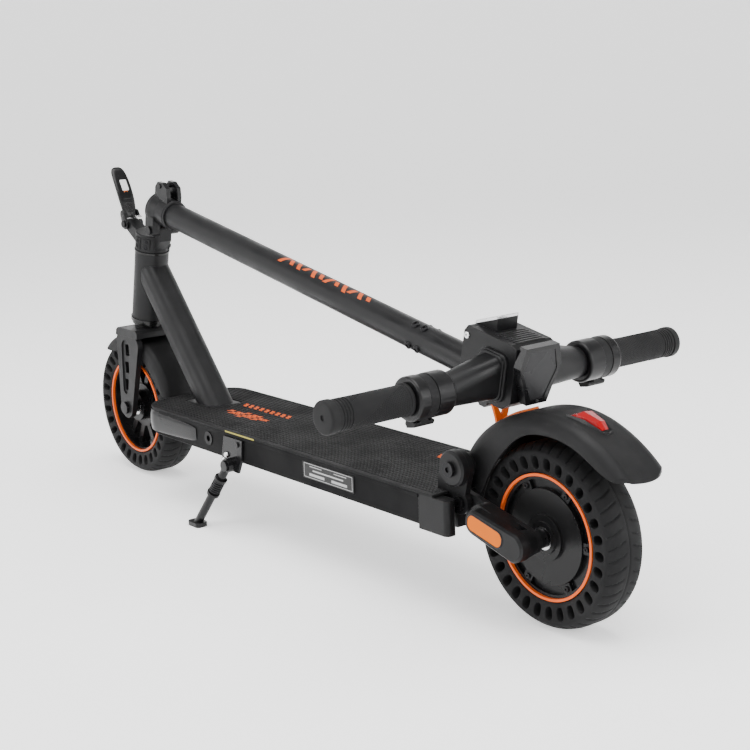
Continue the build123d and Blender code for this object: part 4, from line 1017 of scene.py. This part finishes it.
def build_reflectors():
    """The orange reflectors in the pods, each with a raised rim and rows of small pyramids."""
    slope = REFLECTOR_SLOPE
    shape = Shape()
    rims = Shape()
    for side in (-1, 1):
        def place(a, b, height, side=side):
            """A point on the pod's face."""
            x = REFLECTOR_X + a * cos(slope) - b * sin(slope)
            z = REFLECTOR_Z + a * sin(slope) + b * cos(slope)
            return REAR_AXLE + Vector((x, side * height, z - 100)) * MM
        columns, rows = 52, 18
        grid = []
        for j in range(rows + 1):
            row = []
            for i in range(columns + 1):
                a, b = -26.5 + 53 * i / columns, -8.8 + 17.6 * j / rows
                over_a, over_b = max(0.0, abs(a) - 18.5), max(0.0, abs(b) - 0.8)
                reach = hypot(over_a, over_b)
                if reach > 8.0:
                    a = (abs(a) - over_a + over_a * 8.0 / reach) * (1 if a > 0 else -1)
                    b = (abs(b) - over_b + over_b * 8.0 / reach) * (1 if b > 0 else -1)
                peak = 0.28 if (i + j) % 2 and reach < 7.4 else 0.0
                row.append(place(a, b, 71.15 + peak))
            grid.append(row)
        shape.grid(grid)
        ring = rounded_box(0.0, 0.0, 27.8, 10.0, 8.8, 10)
        hole = rounded_box(0.0, 0.0, 26.3, 8.6, 7.7, 10)
        levels = [[place(a, b, 70.6) for a, b in ring], [place(a * 0.995, b * 0.99, 71.5) for a, b in ring],
                  [place(a, b, 71.7) for a, b in rounded_box(0.0, 0.0, 27.1, 9.3, 8.2, 10)],
                  [place(a, b, 71.5) for a, b in hole], [place(a, b, 70.9) for a, b in hole]]
        rims.grid(levels, closed_columns=True)
    new_piece("reflector_faces", shape, "reflector_orange", "swing_arm",
              ["side_reflectors"], sharp=20.0)
    new_piece("reflector_rims", rims, "gloss_plastic_black", "swing_arm")


# --- Head unit details ----------------------------------------------------------------------------
LAMP_END, LAMP_TOP, LAMP_SLOPE = -16.0, 64.0, 0.46


def build_head_details():
    """Ribs, lamp rim, arm flanges and side screws on the head unit."""
    ribs = Shape()
    for index in range(7):
        outline = rounded_box(-9.5 + 5.0 * index, 0.0, 1.5, 21.0, 1.2)
        ribs.prism(outline, bar_place, 46.0, 48.4, 0.7)
    new_piece("head_ribs", ribs, "satin_plastic", "stem")
    rim = Shape()
    levels = []
    for half_a, half_b, height in (
        (17.2, 15.4, -2.6), (17.2, 15.4, 0.3), (16.8, 15.0, 0.8), (15.2, 13.4, 0.8), (14.8, 13.0, -0.1),
    ):
        outline = rounded_box(-32.5, 0.0, half_a, half_b, 3.0)
        levels.append([bar_place(a, b, LAMP_TOP + LAMP_SLOPE * (a - LAMP_END) + height) for a, b in outline])
    rim.grid(levels, closed_columns=True)
    new_piece("lamp_rim", rim, "lamp_silver", "stem")
    flanges = Shape()
    for side in (-1, 1):
        for half_a, half_b, low, high in ((20.5, 27.0, 27.6, 31.4), (18.9, 25.4, 31.0, 34.6)):
            outline = rounded_box(0.0, 7.0, half_a, half_b, 10.0, 8)
            flanges.prism(outline, lambda a, b, h, s=side: bar_place(a, s * h, b), low, high, 0.9)
    new_piece("arm_flanges", flanges, "satin_plastic", "stem")
    screws = Shape()
    for side in (-1, 1):
        add_screw(screws, bar_place(-45.5, side * 28.0, 36.0), (0, side, 0), 3.8 * MM, 1.8 * MM)
    new_piece("head_screws", screws, "latch_chrome", "stem")


# --- Deck details ---------------------------------------------------------------------------------
def nose_path(grow):
    """The deck's edge from the left side round the nose to the right side, in millimetres."""
    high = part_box("deck_mat")[1]
    nose, half, corner = high.x / MM, 75.0 + grow, 36.0 + grow
    front = nose - 1.6 + grow
    points = []
    for step in range(14):
        points.append((rear_x(598) / MM + (front - corner - rear_x(598) / MM) * step / 14, half))
    for step in range(19):
        turn = radians(90 - 90 * step / 18)
        points.append((front - corner + corner * cos(turn), half - corner + corner * sin(turn)))
    for step in range(1, 8):
        points.append((front, (half - corner) * (1 - step / 8)))
    mirrored = [(x, -y) for x, y in reversed(points)]
    return points + [(front, 0.0)] + mirrored


def build_bumper():
    """The glossy bumper that wraps the deck's nose, thin at its two rear ends."""
    shape = Shape()
    profile = (
        (98.5, 0.0), (99.5, 1.6), (103.0, 2.7), (112.0, 3.1), (121.0, 2.6), (125.5, 1.6), (127.2, 0.0),
    )
    base = nose_path(0.0)
    count_points = len(base)
    rows = []
    for height, stand in profile:
        outer = nose_path(stand)
        row = []
        for index, (x, y) in enumerate(outer):
            share = min(index, count_points - 1 - index) / 14
            ease = min(1.0, share) ** 0.5
            bx, by = base[index]
            z = 112.9 + (height - 112.9) * (0.55 + 0.45 * ease)
            row.append(Vector((bx + (x - bx) * ease, by + (y - by) * ease, z)) * MM)
        rows.append(row)
    shape.grid(rows)
    new_piece("nose_bumper", shape, "gloss_plastic_black", "frame")


def build_rivets():
    """Two bright rivets on the side stand's bracket."""
    shape = Shape()
    for x, z in ((527, 93), (520, 101)):
        dome = ((-1, 3.9), (0.6, 3.8), (1.5, 3.0), (2.1, 1.6), (2.3, 0.01))
        shape.turned(dome, Vector((rear_x(x), 79.4 * MM, z * MM)), LEFT, 28)
    new_piece("stand_rivets", shape, "latch_chrome", "frame")


def build_edge_strip():
    """The thin yellow strip on the deck's edge above the side stand."""
    shape = Shape()
    outline = rounded_box((rear_x(491)) / MM, 131.0, 33.0, 1.0, 0.4, 3)
    shape.prism(outline, lambda a, b, h: Vector((a, h, b)) * MM, 75.8, 76.35, 0.1)
    new_piece("edge_strip", shape, "strip_yellow", "frame")


def build_fold_details():
    """Clamp pads and screws round the fold base."""
    up = Vector((-sin(HEAD_RAKE), 0.0, cos(HEAD_RAKE)))
    back = Vector((-cos(HEAD_RAKE), 0.0, -sin(HEAD_RAKE)))
    pads, screws = Shape(), Shape()
    for centre_turn in (52, 88, -52, -88):
        rows = []
        for height, stand in ((5.0, 0.0), (5.6, 1.5), (22.4, 1.5), (23.0, 0.0)):
            row = []
            for step in range(13):
                turn = radians(centre_turn - 15 + 30 * step / 12)
                end = 0.0 if step in (0, 12) else stand
                direction = back * cos(turn) + LEFT * sin(turn)
                row.append(FOLD_TOP + (up * height + direction * (23.9 + end)) * MM)
            rows.append(row)
        pads.grid(rows)
        turn = radians(centre_turn)
        direction = back * cos(turn) + LEFT * sin(turn)
        for height in (9.8, 18.2):
            place = FOLD_TOP + (up * height + direction * 25.2) * MM
            add_screw(screws, place, direction, 2.6 * MM, 1.2 * MM)
    new_piece("clamp_pads", pads, "frame_paint", "steering")
    new_piece("clamp_screws", screws, "bolt_steel", "steering")


def build_stem_screws():
    """Domed socket screws over the bolts near the top of the stem."""
    shape = Shape()
    for along in (563.0, 578.0):
        for quarter in range(4):
            turn = radians(25 + 90 * quarter)
            direction = STEM_UP * cos(turn) + LEFT * sin(turn)
            place = STEM_PIVOT + (STEM_BACK * along + STEM_UP * STEM_HEIGHT + direction * STEM_RADIUS) * MM
            add_screw(shape, place, direction, 4.6 * MM, 2.6 * MM)
    new_piece("stem_screws", shape, "bolt_steel", "stem", ["stem_bolts"])


# --- Stage ----------------------------------------------------------------------------------------
CAMERA_PLACE = Vector((-1098.1 * MM + REAR_AXLE.x, 1087.8 * MM, 614.4 * MM))
CAMERA_YAW, CAMERA_PITCH, CAMERA_ROLL = radians(232.21), radians(12.39), radians(-2.22)
CAMERA_SENSOR = 36.0
CAMERA_LENS = 73.5936


def build_camera():
    """The camera at the view's measured place, direction and lens."""
    level = cos(CAMERA_PITCH)
    back = Vector((sin(CAMERA_YAW) * level, -cos(CAMERA_YAW) * level, sin(CAMERA_PITCH)))
    right = Vector((0, 0, 1)).cross(back).normalized()
    up = back.cross(right)
    turned_right = right * cos(CAMERA_ROLL) + up * sin(CAMERA_ROLL)
    turned_up = up * cos(CAMERA_ROLL) - right * sin(CAMERA_ROLL)
    data = bpy.data.cameras.new("camera")
    data.lens = CAMERA_LENS
    data.sensor_width = CAMERA_SENSOR
    data.clip_end = 60.0
    camera = bpy.data.objects.new("camera", data)
    turn = Matrix((turned_right, turned_up, back)).transposed().to_4x4()
    camera.matrix_world = Matrix.Translation(CAMERA_PLACE) @ turn
    bpy.context.scene.collection.objects.link(camera)
    bpy.context.scene.camera = camera


def stage_material(name, rgb):
    """The matt paper of the floor, with a faint tooth."""
    material = bpy.data.materials.new(name)
    material.use_nodes = True
    tree = Tree(material.node_tree)
    shader = material.node_tree.nodes["Principled BSDF"]
    shader.inputs["Roughness"].default_value = 0.9
    shader.inputs["Specular IOR Level"].default_value = 0.1
    shader.inputs["Emission Color"].default_value = (1.0, 1.0, 1.0, 1.0)
    shader.inputs["Emission Strength"].default_value = 0.6
    place = tree.add("ShaderNodeTexCoord").outputs["Object"]
    tooth = tree.add("ShaderNodeTexNoise", {"Vector": place, "Scale": 40.0, "Detail": 4.0}).outputs[0]
    tree.link(tree.mix(tooth, rgba(rgb, 0.99), rgba(rgb, 1.0)), shader.inputs["Base Color"])
    return material


def build_floor():
    """A round pale floor that curves up into a backdrop all round."""
    settings = bpy.context.scene.scooter_stage
    profile = [(0.0, 0.0), (0.0, 2.0), (0.0, 4.5)]
    for step in range(1, 13):
        turn = radians(90 * step / 12)
        profile.append((2.5 * (1 - cos(turn)), 4.5 + 2.5 * sin(turn)))
    profile.append((5.0, 7.0))
    shape = Shape()
    shape.grid(lathe(profile, Vector((0, 0, 0)), (0, 0, 1), 96), closed_columns=True)
    mesh = bpy.data.meshes.new("floor")
    mesh.from_pydata([tuple(point) for point in shape.points], [], shape.faces)
    for polygon in mesh.polygons:
        polygon.use_smooth = True
    floor = bpy.data.objects.new("floor", mesh)
    bpy.context.scene.collection.objects.link(floor)
    mesh.materials.append(stage_material("stage_paper", tuple(settings.floor)))


def add_light(name, place, target, size, power):
    """A soft square light that looks at a target."""
    data = bpy.data.lights.new(name, "AREA")
    data.shape = "SQUARE"
    data.size = size
    data.energy = power
    light = bpy.data.objects.new(name, data)
    direction = Vector(target) - Vector(place)
    light.matrix_world = Matrix.Translation(place) @ direction.to_track_quat("-Z", "Y").to_matrix().to_4x4()
    bpy.context.scene.collection.objects.link(light)


def build_lights():
    """Soft light from above and both sides, and a bright even surround."""
    settings = bpy.context.scene.scooter_stage
    aim = (0.0, 0.0, 0.2)
    add_light("top_light", (-0.4, 0.3, 2.8), aim, 2.6, settings.key_power)
    add_light("left_light", (0.9, 2.6, 1.3), aim, 1.8, settings.fill_power)
    add_light("rear_light", (-2.7, -0.9, 1.2), aim, 1.6, settings.fill_power)
    world = bpy.data.worlds.new("surround")
    world.use_nodes = True
    shader = world.node_tree.nodes["Background"]
    shader.inputs["Color"].default_value = (1.0, 1.0, 1.0, 1.0)
    shader.inputs["Strength"].default_value = 0.45
    bpy.context.scene.world = world


# --- Operators ------------------------------------------------------------------------------------
class ScooterOperator:
    """Runs one builder."""

    bl_options = {"REGISTER", "UNDO"}

    def execute(self, context):
        """Builds the pieces. A mistake stops the script."""
        self.build()
        return {"FINISHED"}


class SCOOTER_OT_finishes(ScooterOperator, bpy.types.Operator):
    """Build the shared effects and every finish, and paint the frame with them"""

    bl_idname = "scooter.finishes"
    bl_label = "Finishes"

    def build(self):
        build_effects()
        paint_frame()


class SCOOTER_OT_tyres(ScooterOperator, bpy.types.Operator):
    """Build both solid tyres"""

    bl_idname = "scooter.tyres"
    bl_label = "Tyres"

    def build(self):
        build_tyre("tyre_front", FRONT_AXLE, "front_wheel", "front_tyre")
        build_tyre("tyre_rear", REAR_AXLE, "rear_wheel", "rear_tyre")


class SCOOTER_OT_mat(ScooterOperator, bpy.types.Operator):
    """Build the ribbed deck mat"""

    bl_idname = "scooter.mat"
    bl_label = "Deck mat"

    def build(self):
        build_mat()


class SCOOTER_OT_grips(ScooterOperator, bpy.types.Operator):
    """Build both handlebar grips"""

    bl_idname = "scooter.grips"
    bl_label = "Grips"

    def build(self):
        build_grip("grip_left", "left_grip", 1)
        build_grip("grip_right", "right_grip", -1)


class SCOOTER_OT_spring(ScooterOperator, bpy.types.Operator):
    """Build the side stand's coil spring"""

    bl_idname = "scooter.spring"
    bl_label = "Stand spring"

    def build(self):
        build_spring()


class SCOOTER_OT_screws(ScooterOperator, bpy.types.Operator):
    """Build the visible screws"""

    bl_idname = "scooter.screws"
    bl_label = "Screws"

    def build(self):
        build_motor_screws()
        build_stem_screws()


class SCOOTER_OT_lever(ScooterOperator, bpy.types.Operator):
    """Build the fold lever and the clamp details below it"""

    bl_idname = "scooter.lever"
    bl_label = "Fold lever"

    def build(self):
        build_lever()
        build_fold_details()


class SCOOTER_OT_lenses(ScooterOperator, bpy.types.Operator):
    """Build the tail lens and the side reflectors"""

    bl_idname = "scooter.lenses"
    bl_label = "Lenses"

    def build(self):
        build_tail_lens()
        build_reflectors()


class SCOOTER_OT_head(ScooterOperator, bpy.types.Operator):
    """Build the details of the head unit"""

    bl_idname = "scooter.head"
    bl_label = "Head unit"

    def build(self):
        build_head_details()


class SCOOTER_OT_deck(ScooterOperator, bpy.types.Operator):
    """Build the nose bumper and the edge strip"""

    bl_idname = "scooter.deck"
    bl_label = "Deck details"

    def build(self):
        build_bumper()
        build_edge_strip()
        build_rivets()


class SCOOTER_OT_stage(ScooterOperator, bpy.types.Operator):
    """Build the floor, the lights and the camera"""

    bl_idname = "scooter.stage"
    bl_label = "Stage"

    def build(self):
        build_floor()
        build_lights()
        build_camera()


OPERATORS = (
    SCOOTER_OT_finishes,
    SCOOTER_OT_tyres,
    SCOOTER_OT_mat,
    SCOOTER_OT_grips,
    SCOOTER_OT_spring,
    SCOOTER_OT_screws,
    SCOOTER_OT_lever,
    SCOOTER_OT_lenses,
    SCOOTER_OT_head,
    SCOOTER_OT_deck,
    SCOOTER_OT_stage,
)


class SCOOTER_PT_panel(bpy.types.Panel):
    """Lists the scooter's sizes, colours and building steps"""

    bl_idname = "SCOOTER_PT_panel"
    bl_label = "Kick Scooter"
    bl_space_type = "VIEW_3D"
    bl_region_type = "UI"
    bl_category = "Scooter"

    def draw(self, context):
        """Draws the settings, then a button for each step."""
        for name, group in GROUPS.items():
            settings = getattr(context.scene, name)
            box = self.layout.box()
            box.label(text=group.__doc__)
            for key in group.__annotations__:
                box.prop(settings, key)
        for operator in OPERATORS:
            self.layout.operator(operator.bl_idname)


def register():
    """Adds the classes and the scene's settings."""
    for cls in (*GROUPS.values(), *OPERATORS, SCOOTER_PT_panel):
        bpy.utils.register_class(cls)
    for name, group in GROUPS.items():
        setattr(bpy.types.Scene, name, PointerProperty(type=group))


def unregister():
    """Takes the settings and the classes away again."""
    for name in GROUPS:
        delattr(bpy.types.Scene, name)
    for cls in (SCOOTER_PT_panel, *reversed(OPERATORS), *reversed(tuple(GROUPS.values()))):
        bpy.utils.unregister_class(cls)


def main():
    """Builds everything in order."""
    register()
    for operator in OPERATORS:
        section, name = operator.bl_idname.split(".")
        getattr(getattr(bpy.ops, section), name)()


if __name__ == "__main__":
    main()
